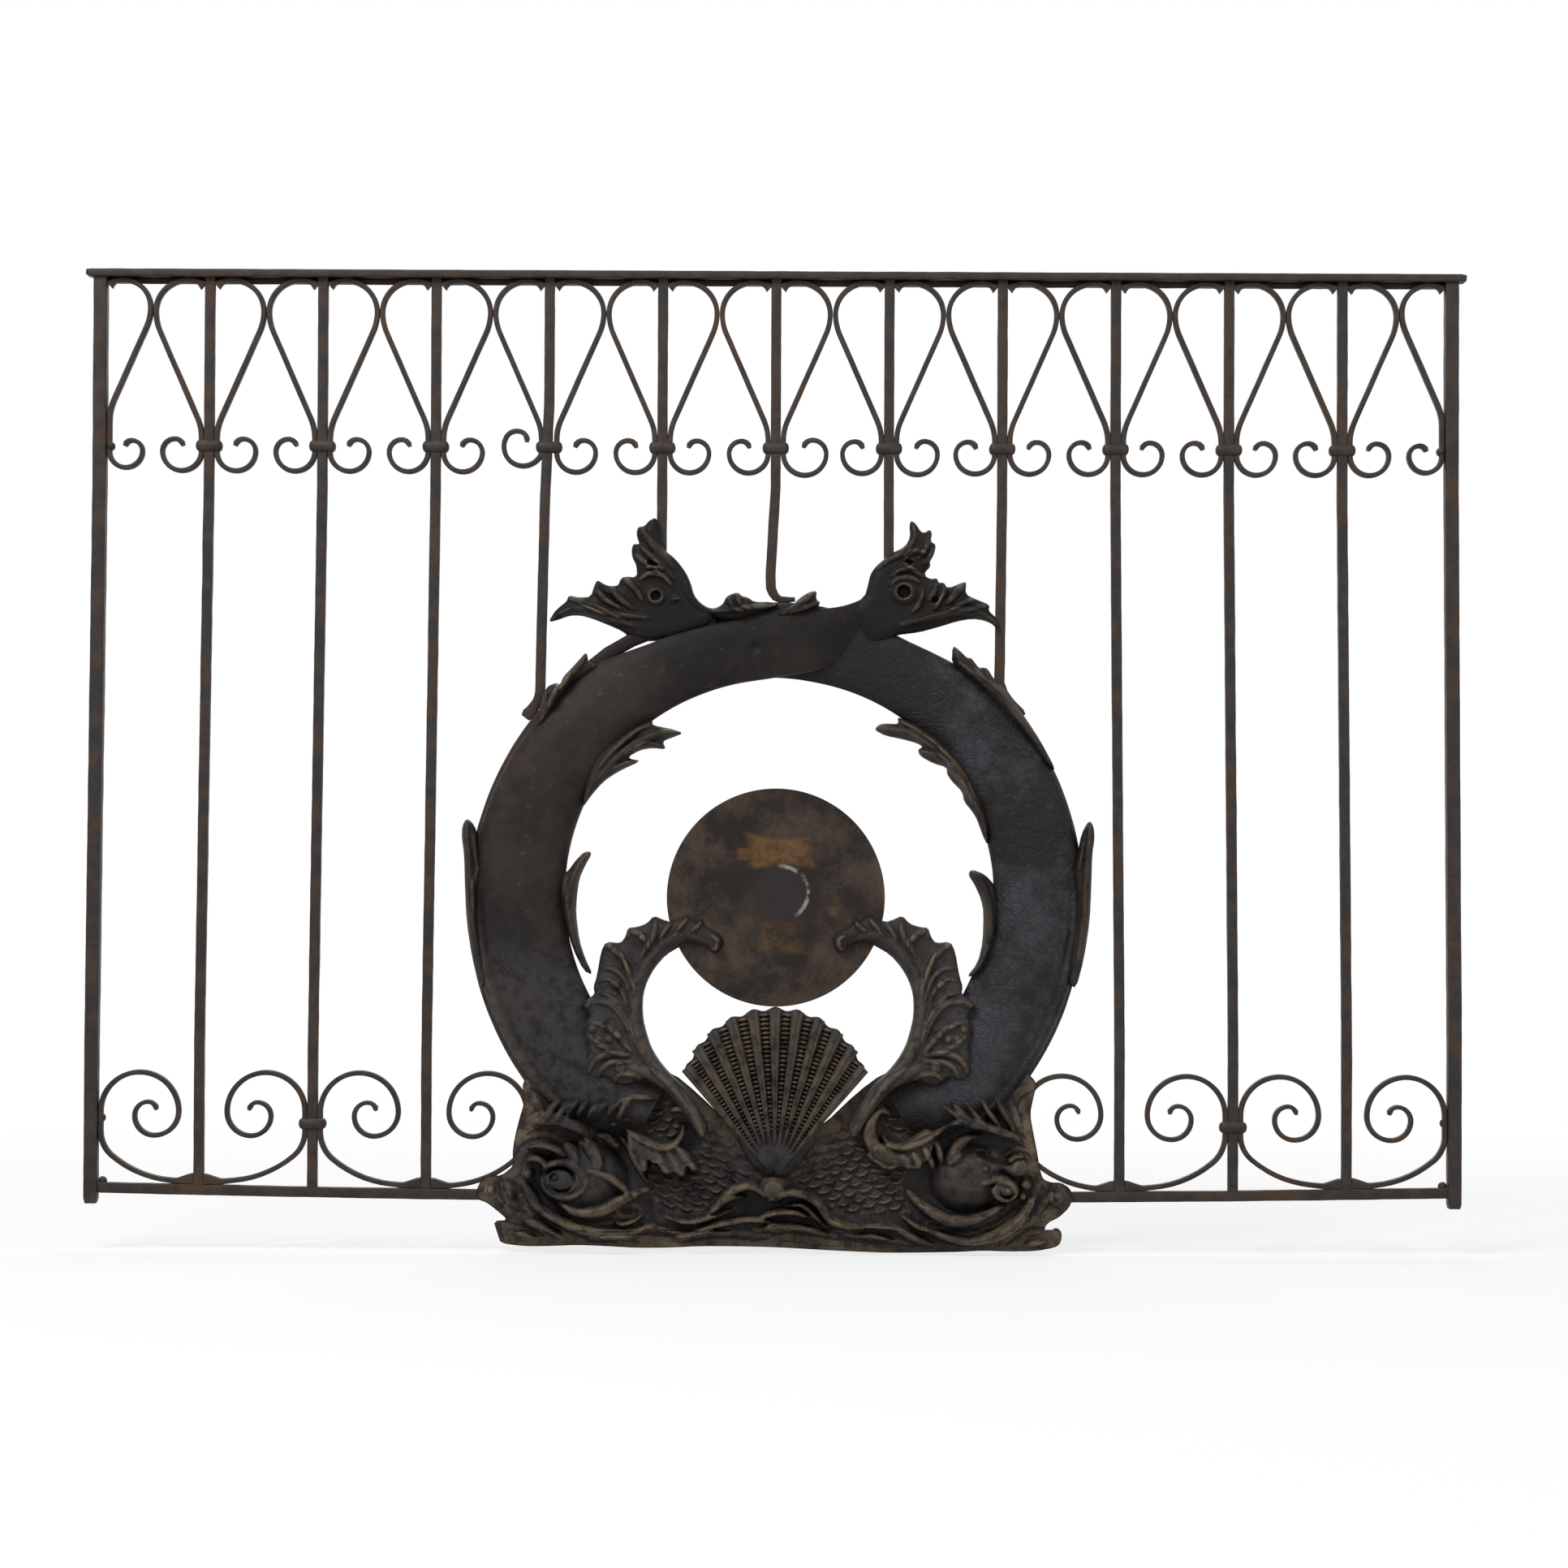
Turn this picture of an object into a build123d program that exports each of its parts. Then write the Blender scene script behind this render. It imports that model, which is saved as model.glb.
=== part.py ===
from build123d import *
from math import acos, ceil, cos, degrees, radians, sin, sqrt, tan
import os

# Wrought iron grille: a framed panel of uprights with forged scrolls and a cast medallion
# of two entwined dolphins. X runs along the rails, Z is up, the decorated face looks to -Y.
# Local places are measured from the middle upright; the whole is moved once, at the end,
# so that the origin is the middle of the left stile's foot.

# Frame
panel_height = 1120.0        # foot of the stiles to the top of the cap rail
bar_pitch = 136.0            # one upright to the next
end_pitch = 131.0            # outermost upright to its stile
bar_count = 11
bar_size = 12.0              # square uprights
stile_width = 16.0
stile_depth = 20.0
cap_height = 9.5             # flat cap rail
cap_depth = 30.0
cap_overhang = 9.0           # cap beyond the outer face of each stile
under_height = 7.0           # retaining strip below the cap, behind the uprights
under_depth = 7.0
rail_height = 12.5           # lower rail
rail_end_level = 25.0        # its upper face at the stiles
rail_sag = 8.5               # how far it has sagged at mid span
foot_spread = 7.0            # the uprights fan out this much towards the bottom
stile_share = 0.7            # the stiles lean this much of it
mid_bar_bend = -4.0          # the middle upright is bent a little to the left
fan_bottom = 190.0           # they run plumb again below this level
seat_gap = 0.3               # room between faces that rest on each other

# Forged scrolls
strip_thick = 6.0
strip_depth = 12.0
bend_step = 20.0             # hammered bends, degrees to each facet
heart_crown_out = 27.0       # crown of the arch, out from the upright's axis
heart_slope = 23.7           # degrees between the long taper and the upright
heart_bend = 60.0            # radius of both bends of the taper
heart_foot_drop = 8.0        # extra thickness of the foot at the upright
heart_foot_length = 14.0
curl_spacing = 18.0          # room between the curls of neighbouring hearts
curl_second = 0.64           # each further turn of a curl is this share of the first
curl_third = 0.43
collar_drop = 202.5          # cap rail to the middle of the upper collars
collar_height = 13.0
collar_wall = 3.2
collar_play = 0.15
curl_room = 48.0             # collar to the level where the uprights start to lean
low_scroll_radius = 46.7     # big turn of the lower scrolls
low_scroll_shrink = 0.62     # the spiral's next turn
low_scroll_steps = (1.0, 0.62, 0.51, 0.35, 0.21)
low_scroll_rise = 85.0       # centre of that turn above the lower rail
low_scroll_sweep = 128.0     # radius of the long tail
low_first_bend = 50.0        # degrees turned beside the upright
low_last_bend = 35.0         # degrees turned along the tail
low_foot_length = 15.0       # spread foot beside the next upright
low_ring_gap = 72.0          # inner scrolls, from the hoop's side inwards
low_collar_drop = 14.0       # lower collars below the turn's centre
low_collar_height = 10.0

# Medallion
medallion_x = 2.5            # its axis beside the middle upright
hoop_side_gap = 33.0         # between the hoop and the uprights on both sides of it
hoop_dip = 22.5              # the hoop would reach this far below the lower rail's top
hoop_thick = 8.0
hoop_step = 8.0
body_inset = 2.0             # outer edge of the bodies inside the hoop's
body_width = 116.0
body_relief = 36.0
under_share = 0.8            # the right body is flatter, it passes behind at the crossing
body_taper = 0.56            # lost width at the tail
body_sections = 13
body_start = -142.0          # degrees from the top, where the body leaves the head
body_end = 21.0              # where it meets the tail
crossing_from = -60.0        # the bodies draw in from here to the crossing
crossing_at = -15.0
crossing_inset = 0.0244      # by this share of the hoop's radius
tail_turn = 37.4             # and swing out again over this turn to the tail
tail_lift = 0.26
head_relief = 42.0
gill_relief = 38.0
crown_steps = ((0.0, 1.0), (0.45, 0.94), (0.8, 0.72), (1.0, 0.4))   # height against size, both shares
disc_radius = 130.4
disc_rise = 6.0              # its centre above the hoop's
disc_thick = 5.0
disc_front = 6.0             # its front face, ahead of the uprights' faces
shell_drop = 327.0           # hinge of the shell below the hoop's centre
shell_half_angle = 39.0
shell_ribs = 11
shell_relief = 26.0
rib_rise = 6.0
rib_share = 0.62             # width of a rib in its own slice
shell_droop = 33.0           # the outer ribs are this much shorter
rib_notch = 7.0
hinge_radius = 30.0
tail_relief = 18.0
fin_relief = 24.0
leaf_relief = 14.0
wave_height = 0.0813         # shares of the hoop's radius
wave_relief = 24.0
wave_reach = 0.916
wave_count = 7
wave_dip = 0.0136
casting_depth = 60.0         # enough to cut through any casting
casting_foot = -1053         # lower edge of heads and breasts, in thousandths of the hoop's radius
boss_rise = 5.0              # eye, brow and lip stand this proud of the head

mid_bar = (bar_count + 1) // 2
stile_x = (mid_bar - 1) * bar_pitch + end_pitch
stile_foot_x = stile_x + foot_spread * stile_share
face_y = -bar_size / 2                       # plane of the uprights' fronts
seat_y = face_y - seat_gap                   # backs of the castings
cap_bottom = panel_height - cap_height
collar_level = cap_bottom - collar_drop
fan_top = collar_level - curl_room
cap_half = stile_x + stile_width / 2 + cap_overhang
rail_mid = rail_end_level - rail_sag
hoop_radius = 3 * bar_pitch - bar_size / 2 - hoop_side_gap
hoop_level = rail_mid + hoop_radius - hoop_dip
disc_level = hoop_level + disc_rise
shell_level = hoop_level - shell_drop
shell_reach = disc_level - disc_radius - seat_gap - shell_level
body_radius = hoop_radius - body_inset - body_width / 2
wave_top = hoop_level + casting_foot * hoop_radius / 1000 - seat_gap

# outlines of the left-hand castings, across and up from the hoop's centre, in thousandths of
# its radius
head_crown = (-710, -843)
gill_crown = (-285, -835)
head_outline = [(-837, -612), (-832, -696), (-854, -780), (-851, -859), (-927, -881), (-967, -913), (-951, -970),
                (-875, -1024), (-835, casting_foot), (-493, casting_foot), (-480, -864),
                (-539, -772), (-504, -631)]
head_bosses = [(-710, -897, 58), (-815, -810, 46), (-921, -936, 38)]    # eye, brow, lip: place, radius
gill_outline = [(-504, -631), (-539, -772), (-480, -864), (-493, casting_foot), (-1, casting_foot),
                (-1, -631), (-407, -537), (-504, -577)]
fin_outline = [(-260, -707), (-306, -591), (-363, -528), (-409, -442), (-431, -355), (-431, -290),
               (-404, -220), (-350, -165), (-271, -127), (-222, -136), (-184, -149), (-222, -95),
               (-279, -49), (-341, -65), (-390, -51), (-477, -79), (-499, -133), (-564, -133),
               (-572, -173), (-593, -268), (-626, -331), (-612, -404), (-629, -453), (-612, -569),
               (-561, -575), (-501, -588), (-428, -577), (-363, -610), (-279, -699)]
tail_outline = [(-439, 1236), (-496, 1206), (-512, 1163), (-504, 1122), (-480, 1070), (-547, 1033),
                (-610, 1038), (-612, 1000), (-686, 965), (-718, 889), (-653, 924), (-461, 873),
                (-374, 856), (-203, 954), (-266, 976), (-290, 1000), (-298, 1057), (-328, 1100),
                (-374, 1133), (-420, 1154)]
inner_leaf = [(-398, 593), (-306, 553), (-352, 539), (-350, 507), (-412, 501), (-439, 455),
              (-507, 436), (-588, 371), (-710, 371), (-596, 561), (-461, 642)]
inner_spike = [(-607, 163), (-640, 106), (-648, -8), (-621, -130), (-732, -171), (-759, 100), (-667, 122)]
outer_spike = [(-1011, 271), (-1014, 190), (-1005, -16), (-981, -173), (-935, -333), (-867, -279),
               (-935, -8), (-949, 190), (-992, 222)]
upper_leaf = [(-618, 813), (-650, 767), (-680, 743), (-718, 710), (-751, 672), (-759, 629),
              (-710, 561), (-596, 642), (-583, 729)]


def slab(face, y_front, y_back):
    # a face drawn in XZ, made solid between two depths
    flat = face.moved(Pos(0, y_back, 0))
    return extrude(flat, amount=y_back - y_front, dir=(0, -1, 0))


def outline(points):
    # straight-sided face from points in XZ
    return Face(Wire(Polyline([Vector(x, 0, z) for x, z in points], close=True).edges()))


def turned(part, x, z):
    # a piece made about Z, laid with its axis along Y through a place on the panel
    return Pos(x, 0, z) * Rot(90, 0, 0) * part


def flip(part):
    # the same piece on the other side of the medallion
    return mirror(part, Plane.YZ.offset(medallion_x))


def rail_top(x):
    # the sagging lower rail's upper face, an arc through both stiles
    bow = (stile_x ** 2 + rail_sag ** 2) / (2 * rail_sag)
    return rail_mid + bow - sqrt(bow ** 2 - x ** 2)


def bar_x(n):
    return (n - mid_bar) * bar_pitch


def bar_foot_x(n):
    if n == mid_bar:
        return mid_bar_bend
    lean = max(-1.0, min(1.0, (n - mid_bar) / 3))
    return bar_x(n) + foot_spread * lean


def bent_bar(x_top, x_foot, z_foot, width, depth):
    # upright that runs plumb, leans between the two fan levels, and runs plumb again
    axis = [(x_top, cap_bottom), (x_top, fan_top)]
    if z_foot < fan_bottom:
        axis += [(x_foot, fan_bottom), (x_foot, z_foot)]
    else:
        share = (fan_top - z_foot) / (fan_top - fan_bottom)
        axis += [(x_top + (x_foot - x_top) * share, z_foot)]
    w = width / 2
    sides = [(x - w, z) for x, z in axis] + [(x + w, z) for x, z in reversed(axis)]
    return slab(outline(sides), -depth / 2, depth / 2)


def strip(start, heading, moves, thick=strip_thick, depth=strip_depth, step=bend_step):
    # flat bar forged along a path of straight runs and tangent bends:
    # a move is (length, 0) for a run or (radius, degrees) for a bend, left positive
    x, z = start
    a = radians(heading)
    path = [(x, z, a)]
    for size, turn in moves:
        if turn == 0:
            x, z = x + size * cos(a), z + size * sin(a)
            path.append((x, z, a))
            continue
        count = ceil(abs(turn) / step)
        bend = radians(turn) / count
        side = 1 if turn > 0 else -1
        cx, cz = x - side * size * sin(a), z + side * size * cos(a)
        for i in range(count):
            a += bend
            x, z = cx + side * size * sin(a), cz - side * size * cos(a)
            path.append((x, z, a))
    h = thick / 2
    left = [(px - h * sin(t), pz + h * cos(t)) for px, pz, t in path]
    right = [(px + h * sin(t), pz - h * cos(t)) for px, pz, t in path]
    return slab(outline(left + right[::-1]), -depth / 2, depth / 2)


def heart_half(axis_x, half_width, reach, curl_out, side, tilt=0.0, swell=1.0):
    # arch under the rail, long taper down to the collar, and a curl; side is +1 or -1
    crown = cap_bottom - seat_gap - strip_thick / 2
    shoulder = reach - heart_crown_out
    foot_x = half_width + seat_gap
    first = degrees(acos((foot_x - heart_crown_out) / (shoulder + strip_thick / 2)))
    z_centre = crown - shoulder
    rest = half_width + strip_thick / 2 + seat_gap / 2
    across = heart_bend * (1 - cos(radians(heart_slope)))
    run = (reach - rest - 2 * across) / sin(radians(heart_slope))
    drop = 2 * heart_bend * sin(radians(heart_slope)) + run * cos(radians(heart_slope))
    plumb = z_centre - drop - (collar_level - collar_height / 2)
    curl = swell * (curl_out - rest - strip_thick / 2) / 2
    moves = [(shoulder, -first), (heart_bend, -heart_slope), (run, 0), (heart_bend, heart_slope)]
    moves += [(plumb, 0)] + ([(strip_thick, tilt)] if tilt else [])
    moves += [(curl, 180), (curl * curl_second, 90), (curl * curl_third, 80)]
    start = (heart_crown_out + shoulder * cos(radians(first)), z_centre + shoulder * sin(radians(first)))
    half = strip(start, first - 90, moves) + heart_foot(foot_x, start, crown)
    half = half if side > 0 else mirror(half, Plane.YZ)
    return Pos(axis_x, 0, 0) * half


def heart_foot(foot_x, start, crown):
    # fishtail where the strip meets the upright under the cap
    high = crown + strip_thick / 2
    low = start[1] - strip_thick / 2 - heart_foot_drop
    far = foot_x + heart_foot_length
    tail = outline([(foot_x, low), (foot_x, high), (far, high), (far, high - strip_thick)])
    return slab(tail, -strip_depth / 2, strip_depth / 2)


def hearts():
    # a pair on each upright and half a pair on each stile; two of them are knocked out of true
    nodes = {}
    reach = (bar_pitch - strip_thick - seat_gap) / 2
    curl_out = (bar_pitch - curl_spacing) / 2
    tilts = {(4, -1): 25.0}
    swells = {(mid_bar, 1): 1.1, (mid_bar + 1, 1): 1.05}
    for n in range(1, bar_count + 1):
        pair = []
        for side in (-1, 1):
            bent = tilts.get((n, side), 0.0), swells.get((n, side), 1.0)
            pair.append(heart_half(bar_x(n), bar_size / 2, reach, curl_out, side, *bent))
        nodes[f"heart_{n:02d}"] = Compound(pair)
    stile_reach = end_pitch - reach - strip_thick - seat_gap
    stile_curl = end_pitch - curl_out - curl_spacing
    for name, side in (("heart_left", 1), ("heart_right", -1)):
        nodes[name] = heart_half(-side * stile_x, stile_width / 2, stile_reach, stile_curl, side)
    return nodes


def collar(x, z, inner_width, inner_depth, height):
    # band closed around bar and scrolls, its corners hammered off
    w = inner_width + 2 * (collar_wall + collar_play)
    d = inner_depth + 2 * (collar_wall + collar_play)
    band = Box(w, d, height)
    band = chamfer(band.edges().filter_by(Axis.Z), collar_wall * 0.8)
    hole = Box(inner_width + 2 * collar_play, inner_depth + 2 * collar_play, 2 * height)
    return Pos(x, 0, z) * (band - hole)


def upper_collars():
    bundle = bar_size + 2 * strip_thick + seat_gap
    rings = []
    for n in range(1, bar_count + 1):
        rings.append(collar(bar_x(n), collar_level, bundle, strip_depth, collar_height))
    half_bundle = stile_width + strip_thick + seat_gap / 2
    for side in (-1, 1):
        x = side * (stile_x - (strip_thick + seat_gap / 2) / 2)
        rings.append(collar(x, collar_level, half_bundle, stile_depth, collar_height))
    return Compound(rings)


def low_scroll(tangent_x, side, foot_gap):
    # spiral that leans on an upright and sends its tail to the foot of the next one
    centre = rail_end_level + low_scroll_rise
    plumb = low_collar_drop + low_collar_height
    toe = foot_gap - low_foot_length
    base = max(rail_top(tangent_x + side * d) for d in (toe - strip_thick, foot_gap)) + seat_gap
    foot_z = base + strip_thick / 2
    # the tail: plumb beside the upright, then two bends that flatten towards the rail
    slope = 90.0 - low_first_bend - low_last_bend
    steep, flat, turn = radians(slope + low_last_bend), radians(slope), radians(low_first_bend)
    down = low_scroll_sweep * (cos(flat) - cos(steep))
    across = low_scroll_sweep * (sin(steep) - sin(flat))
    rest_down = centre - plumb - foot_z - down - (toe - across) * tan(flat)
    bend = rest_down / (sin(turn) - (1 - cos(turn)) * tan(flat))
    run = (toe - across - bend * (1 - cos(turn))) / cos(flat)
    moves = [(run, 0), (low_scroll_sweep, -low_last_bend), (bend, -low_first_bend), (plumb, 0)]
    moves += [(low_scroll_radius * share, -90) for share in (1.0,) + low_scroll_steps]
    forged = strip((toe, foot_z), 180 - slope, moves)
    tip = toe - strip_thick
    wedge = outline([(tip, base + strip_thick / 2), (toe, base), (foot_gap, base),
                     (foot_gap, base + 2 * strip_thick), (tip, base + strip_thick)])
    forged += slab(wedge, -strip_depth / 2, strip_depth / 2)
    forged = forged if side > 0 else mirror(forged, Plane.YZ)
    return Pos(tangent_x, 0, 0) * forged


def low_scrolls():
    # on each hand: one at the stile, one each side of bar 2, and one at the medallion
    lean = seat_gap / 2 + strip_thick / 2
    beside = bar_size / 2 + lean
    pairs = {}
    for hand, names in ((-1, ("scrolls_1", "scrolls_2")), (1, ("scrolls_4", "scrolls_3"))):
        stile_side = hand * (stile_foot_x - stile_width / 2 - lean)
        first, second, third = (hand * abs(bar_foot_x(n)) for n in (1, 2, 3))
        ring_side = medallion_x + hand * (hoop_radius - low_ring_gap)
        spots = [(stile_side, first, -hand), (second + hand * beside, first, hand),
                 (second - hand * beside, third, -hand), (ring_side, third, hand)]
        made = []
        for tangent, foot, side in spots:
            gap = abs(foot - tangent) - bar_size / 2 - seat_gap
            made.append(low_scroll(tangent, side, gap))
        pairs[names[0]] = Compound(made[:2])
        pairs[names[1]] = Compound(made[2:])
    return pairs


def lower_collars():
    bundle = bar_size + 2 * strip_thick + seat_gap
    level = rail_end_level + low_scroll_rise - low_collar_drop
    rings = []
    for n in (2, bar_count - 1):
        rings.append(collar(bar_foot_x(n), level, bundle, strip_depth, low_collar_height))
    return Compound(rings)


def hoop_top(x):
    # level of the hoop's outer face above a place on the panel
    return hoop_level + sqrt(hoop_radius ** 2 - (x - medallion_x) ** 2)


def flared_foot(n, x, z):
    # spread end of an upright that stops on the hoop
    side = {4: -1, mid_bar: 1, 8: 1}.get(n, 0)
    if side == 0:
        return None
    reach, sole = 2.2 * bar_size, 0.6 * bar_size
    lean = 0.0 if n == mid_bar else 1.2 * reach
    toe = [(x, z + 2 * bar_size), (x, z), (x + side * reach, z - lean),
           (x + side * reach, z - lean + sole), (x + side * 1.1 * bar_size, z + sole),
           (x + side * bar_size / 2, z + 2 * bar_size)]
    return slab(outline(toe), -bar_size / 2, bar_size / 2)


def uprights():
    nodes = {}
    room = turned(Cylinder(hoop_radius + seat_gap, 4 * bar_size), medallion_x, hoop_level)
    for n in range(1, bar_count + 1):
        x = bar_foot_x(n)
        if abs(n - mid_bar) > 2:
            nodes[f"bar_{n:02d}"] = bent_bar(bar_x(n), x, rail_top(abs(x) + bar_size / 2), bar_size, bar_size)
            continue
        z = min(hoop_top(x - bar_size), hoop_top(x + bar_size))
        bar = bent_bar(bar_x(n), x, z, bar_size, bar_size)
        share = (fan_top - z) / (fan_top - fan_bottom)
        foot = flared_foot(n, bar_x(n) + (x - bar_x(n)) * share, hoop_top(x))
        bar = bar - room if foot is None else bar + foot - room
        nodes[f"bar_{n:02d}"] = bar
    return nodes


def stiles():
    nodes = {}
    for name, side in (("stile_left", -1), ("stile_right", 1)):
        nodes[name] = bent_bar(side * stile_x, side * stile_foot_x, 0, stile_width, stile_depth)
    return nodes


def rails():
    cap = Pos(0, 0, panel_height - cap_height / 2) * Box(2 * cap_half, cap_depth, cap_height)
    length = 2 * (stile_x - stile_width / 2)
    under = Pos(0, bar_size / 2 + under_depth / 2, cap_bottom - under_height / 2)
    under = under * Box(length, under_depth, under_height)
    half = stile_foot_x - stile_width / 2
    upper = ThreePointArc((-half, 0, rail_top(half)), (0, 0, rail_top(0)), (half, 0, rail_top(half)))
    lower = upper.moved(Pos(0, 0, -rail_height))
    ends = [Line(upper @ 1, lower @ 1), Line(lower @ 0, upper @ 0)]
    face = Face(Wire([upper, ends[0], lower, ends[1]]))
    return {"top_rail": cap, "under_rail": under,
            "bottom_rail": slab(face, -bar_size / 2, bar_size / 2)}


def hoop():
    # flat iron bent almost full circle, its ends standing on the lower rail
    middle = hoop_radius - hoop_thick / 2
    foot = rail_top(hoop_radius / 2) + seat_gap
    opening = degrees(acos((hoop_level - foot) / hoop_radius)) - 1
    x = -middle * sin(radians(opening))
    z = hoop_level - middle * cos(radians(opening))
    ring = strip((x, z), 180 - opening, [(middle, opening * 2 - 360)], hoop_thick, bar_size, hoop_step)
    below = Pos(0, 0, foot - hoop_radius) * Box(2 * hoop_radius, 2 * bar_size, 2 * hoop_radius)
    return Pos(medallion_x, 0, 0) * (ring - below)


def smooth(value, low, high):
    t = max(0.0, min(1.0, (value - low) / (high - low)))
    return t * t * (3 - 2 * t)


def drawn(points):
    # places of a casting's outline, at the size of this hoop
    k = hoop_radius / 1000
    return [(medallion_x + k * x, hoop_level + k * z) for x, z in points]


def cookie(points, depth=casting_depth):
    # a place on the medallion cut right through
    return slab(outline(drawn(points)), seat_y - depth, seat_y)


def crowned(points, centre, relief):
    # domed casting: its outline drawn in towards a centre as it rises, in flat facets
    (cx, cz), = drawn([centre])
    rings = []
    for height, share in crown_steps:
        y = seat_y - relief * height
        rings.append([Vector(cx + share * (x - cx), y, cz + share * (z - cz)) for x, z in drawn(points)])
    facets = [Face(Wire(Polyline(ring, close=True).edges())) for ring in (rings[0], rings[-1])]
    for low, high in zip(rings, rings[1:]):
        for i in range(len(low)):
            corners = [low[i - 1], low[i], high[i], high[i - 1]]
            facets.append(Face(Wire(Polyline(corners, close=True).edges())))
    return Solid(Shell(facets))


def body_spine(angle):
    # place on the ring's spine; the angle is measured from the top, clockwise
    r = body_radius - crossing_inset * hoop_radius * smooth(angle, crossing_from, crossing_at)
    r += tail_lift * hoop_radius * max(0.0, (angle - crossing_at) / tail_turn) ** 4
    a = radians(angle)
    return medallion_x + r * sin(a), disc_level + r * cos(a)


def body_section(angle, grow, relief):
    # D-shaped slice square to the spine
    x, z = body_spine(angle)
    x2, z2 = body_spine(angle + 1)
    length = sqrt((x2 - x) ** 2 + (z2 - z) ** 2)
    out = ((z2 - z) / length, -(x2 - x) / length)
    share = (angle - body_start) / (body_end - body_start)
    w = body_width / 2 * (1 - body_taper * share ** 3) + grow
    front = relief * (1 - 0.3 * share ** 2) + grow
    corners = []
    for step in range(7):
        t = radians(30 * step)
        across = w * cos(t)
        corners.append(Vector(x - out[0] * across, seat_y - front * sin(t) ** 0.8, z - out[1] * across))
    return Face(Wire(Polyline(corners, close=True).edges()))


def body_form(grow=0.0, relief=body_relief):
    span = body_end - body_start
    angles = [body_start + span * i / (body_sections - 1) for i in range(body_sections)]
    return loft([body_section(a, grow, relief) for a in angles], ruled=True)


def head():
    form = crowned(head_outline, head_crown, head_relief)
    for x, z, size in head_bosses:
        corners = [radians(45 * i) for i in range(8)]
        ring = [(x + size * cos(a), z + size * sin(a)) for a in corners]
        form += crowned(ring, (x, z), head_relief + boss_rise)
    return form


def gill():
    # cheek and scaled breast, round to the middle
    return crowned(gill_outline, gill_crown, gill_relief) - shell_place() - cookie(fin_outline)


def tail():
    return cookie(tail_outline, tail_relief)


def fin():
    # leafy horn that hooks over the disc's rim
    rim = turned(Cylinder(disc_radius + seat_gap, casting_depth), medallion_x, disc_level)
    room = Pos(medallion_x, face_y - disc_front - seat_gap + casting_depth / 2, disc_level)
    rim &= room * Box(4 * disc_radius, casting_depth, 4 * disc_radius)
    return cookie(fin_outline, fin_relief) - rim - shell_place()


def fan_point(angle, r):
    a = radians(angle)
    return medallion_x + r * sin(a), shell_level + r * cos(a)


def rib_reach(angle):
    return shell_reach - shell_droop * (angle / shell_half_angle) ** 2


def shell_place(depth=casting_depth):
    # the fan's room; its edge steps in between the ribs
    step = 2 * shell_half_angle / (shell_ribs - 1)
    half = step * rib_share / 2
    edge = [(medallion_x, shell_level)]
    for i in range(shell_ribs):
        angle = -shell_half_angle + i * step
        if i > 0:
            edge.append(fan_point(angle - step / 2, rib_reach(angle - step / 2) - rib_notch))
        edge += [fan_point(angle - half, rib_reach(angle)), fan_point(angle + half, rib_reach(angle))]
    return slab(outline(edge), seat_y - depth, seat_y)


def shell():
    # fluted fan: a raised, tapering rib in each slice
    step = 2 * shell_half_angle / (shell_ribs - 1)
    half = step * rib_share / 2
    fan = shell_place(shell_relief)
    for i in range(shell_ribs):
        angle = -shell_half_angle + i * step
        reach = rib_reach(angle)
        rib = outline([fan_point(angle, hinge_radius), fan_point(angle - half, reach),
                       fan_point(angle + half, reach)])
        fan += slab(rib, seat_y - shell_relief - rib_rise, seat_y - shell_relief / 2)
    return fan


def disc():
    plate = Cylinder(disc_radius, disc_thick)
    return Pos(0, face_y - disc_front + disc_thick / 2, 0) * turned(plate, medallion_x, disc_level)


def waves():
    # band of sea below the heads, with a scalloped lower edge
    reach, high = wave_reach * hoop_radius, wave_height * hoop_radius
    step = 2 * reach / wave_count
    x0, x1 = medallion_x - reach, medallion_x + reach
    low = wave_top - high
    edges = []
    for i in range(wave_count):
        a, b = x0 + i * step, x0 + (i + 1) * step
        crest = low + wave_dip * hoop_radius
        edges.append(ThreePointArc((a, 0, low), ((a + b) / 2, 0, crest), (b, 0, low)))
    rake = high / 2
    rim = Polyline((x1, 0, low), (x1 - rake, 0, wave_top), (x0 + rake, 0, wave_top), (x0, 0, low))
    return slab(Face(Wire(edges + rim.edges())), seat_y - wave_relief, seat_y)


def leaves():
    # acanthus spikes on both edges of the ring, left side
    ring = body_form(grow=seat_gap)
    spikes = []
    for points in (inner_leaf, inner_spike, outer_spike, upper_leaf):
        spikes += (cookie(points, leaf_relief) - ring - cookie(fin_outline)).solids()
    return Compound([s for s in spikes if s.volume > leaf_relief ** 3 / 4])


def medallion():
    nodes = {"hoop": hoop(), "disc": disc(), "shell": shell(), "wave_base": waves()}
    places = [cookie(head_outline), cookie(gill_outline), cookie(fin_outline)]
    places += [cookie(tail_outline), flip(cookie(tail_outline))]
    left, right = body_form(), body_form(relief=body_relief * under_share)
    for place in places:
        left -= place
        right -= place
    nodes["dolphin_left_body"] = left
    nodes["dolphin_right_body"] = flip(right) - body_form(grow=seat_gap)
    pieces = {"head": head(), "gill": gill(), "tail": tail()}
    for name, piece in pieces.items():
        nodes[f"dolphin_left_{name}"] = piece
        nodes[f"dolphin_right_{name}"] = flip(piece)
    nodes["fin_left"] = fin()
    nodes["fin_right"] = flip(nodes["fin_left"])
    nodes["leaves_left"] = leaves()
    nodes["leaves_right"] = flip(nodes["leaves_left"])
    return nodes


def build():
    nodes = {}
    nodes.update(rails())
    nodes.update(stiles())
    nodes.update(uprights())
    nodes.update(hearts())
    nodes["upper_collars"] = upper_collars()
    nodes.update(low_scrolls())
    nodes["lower_collars"] = lower_collars()
    nodes.update(medallion())
    # from the middle upright's axis to the foot of the left stile
    return {name: Pos(stile_foot_x, 0, 0) * part for name, part in nodes.items()}


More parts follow.
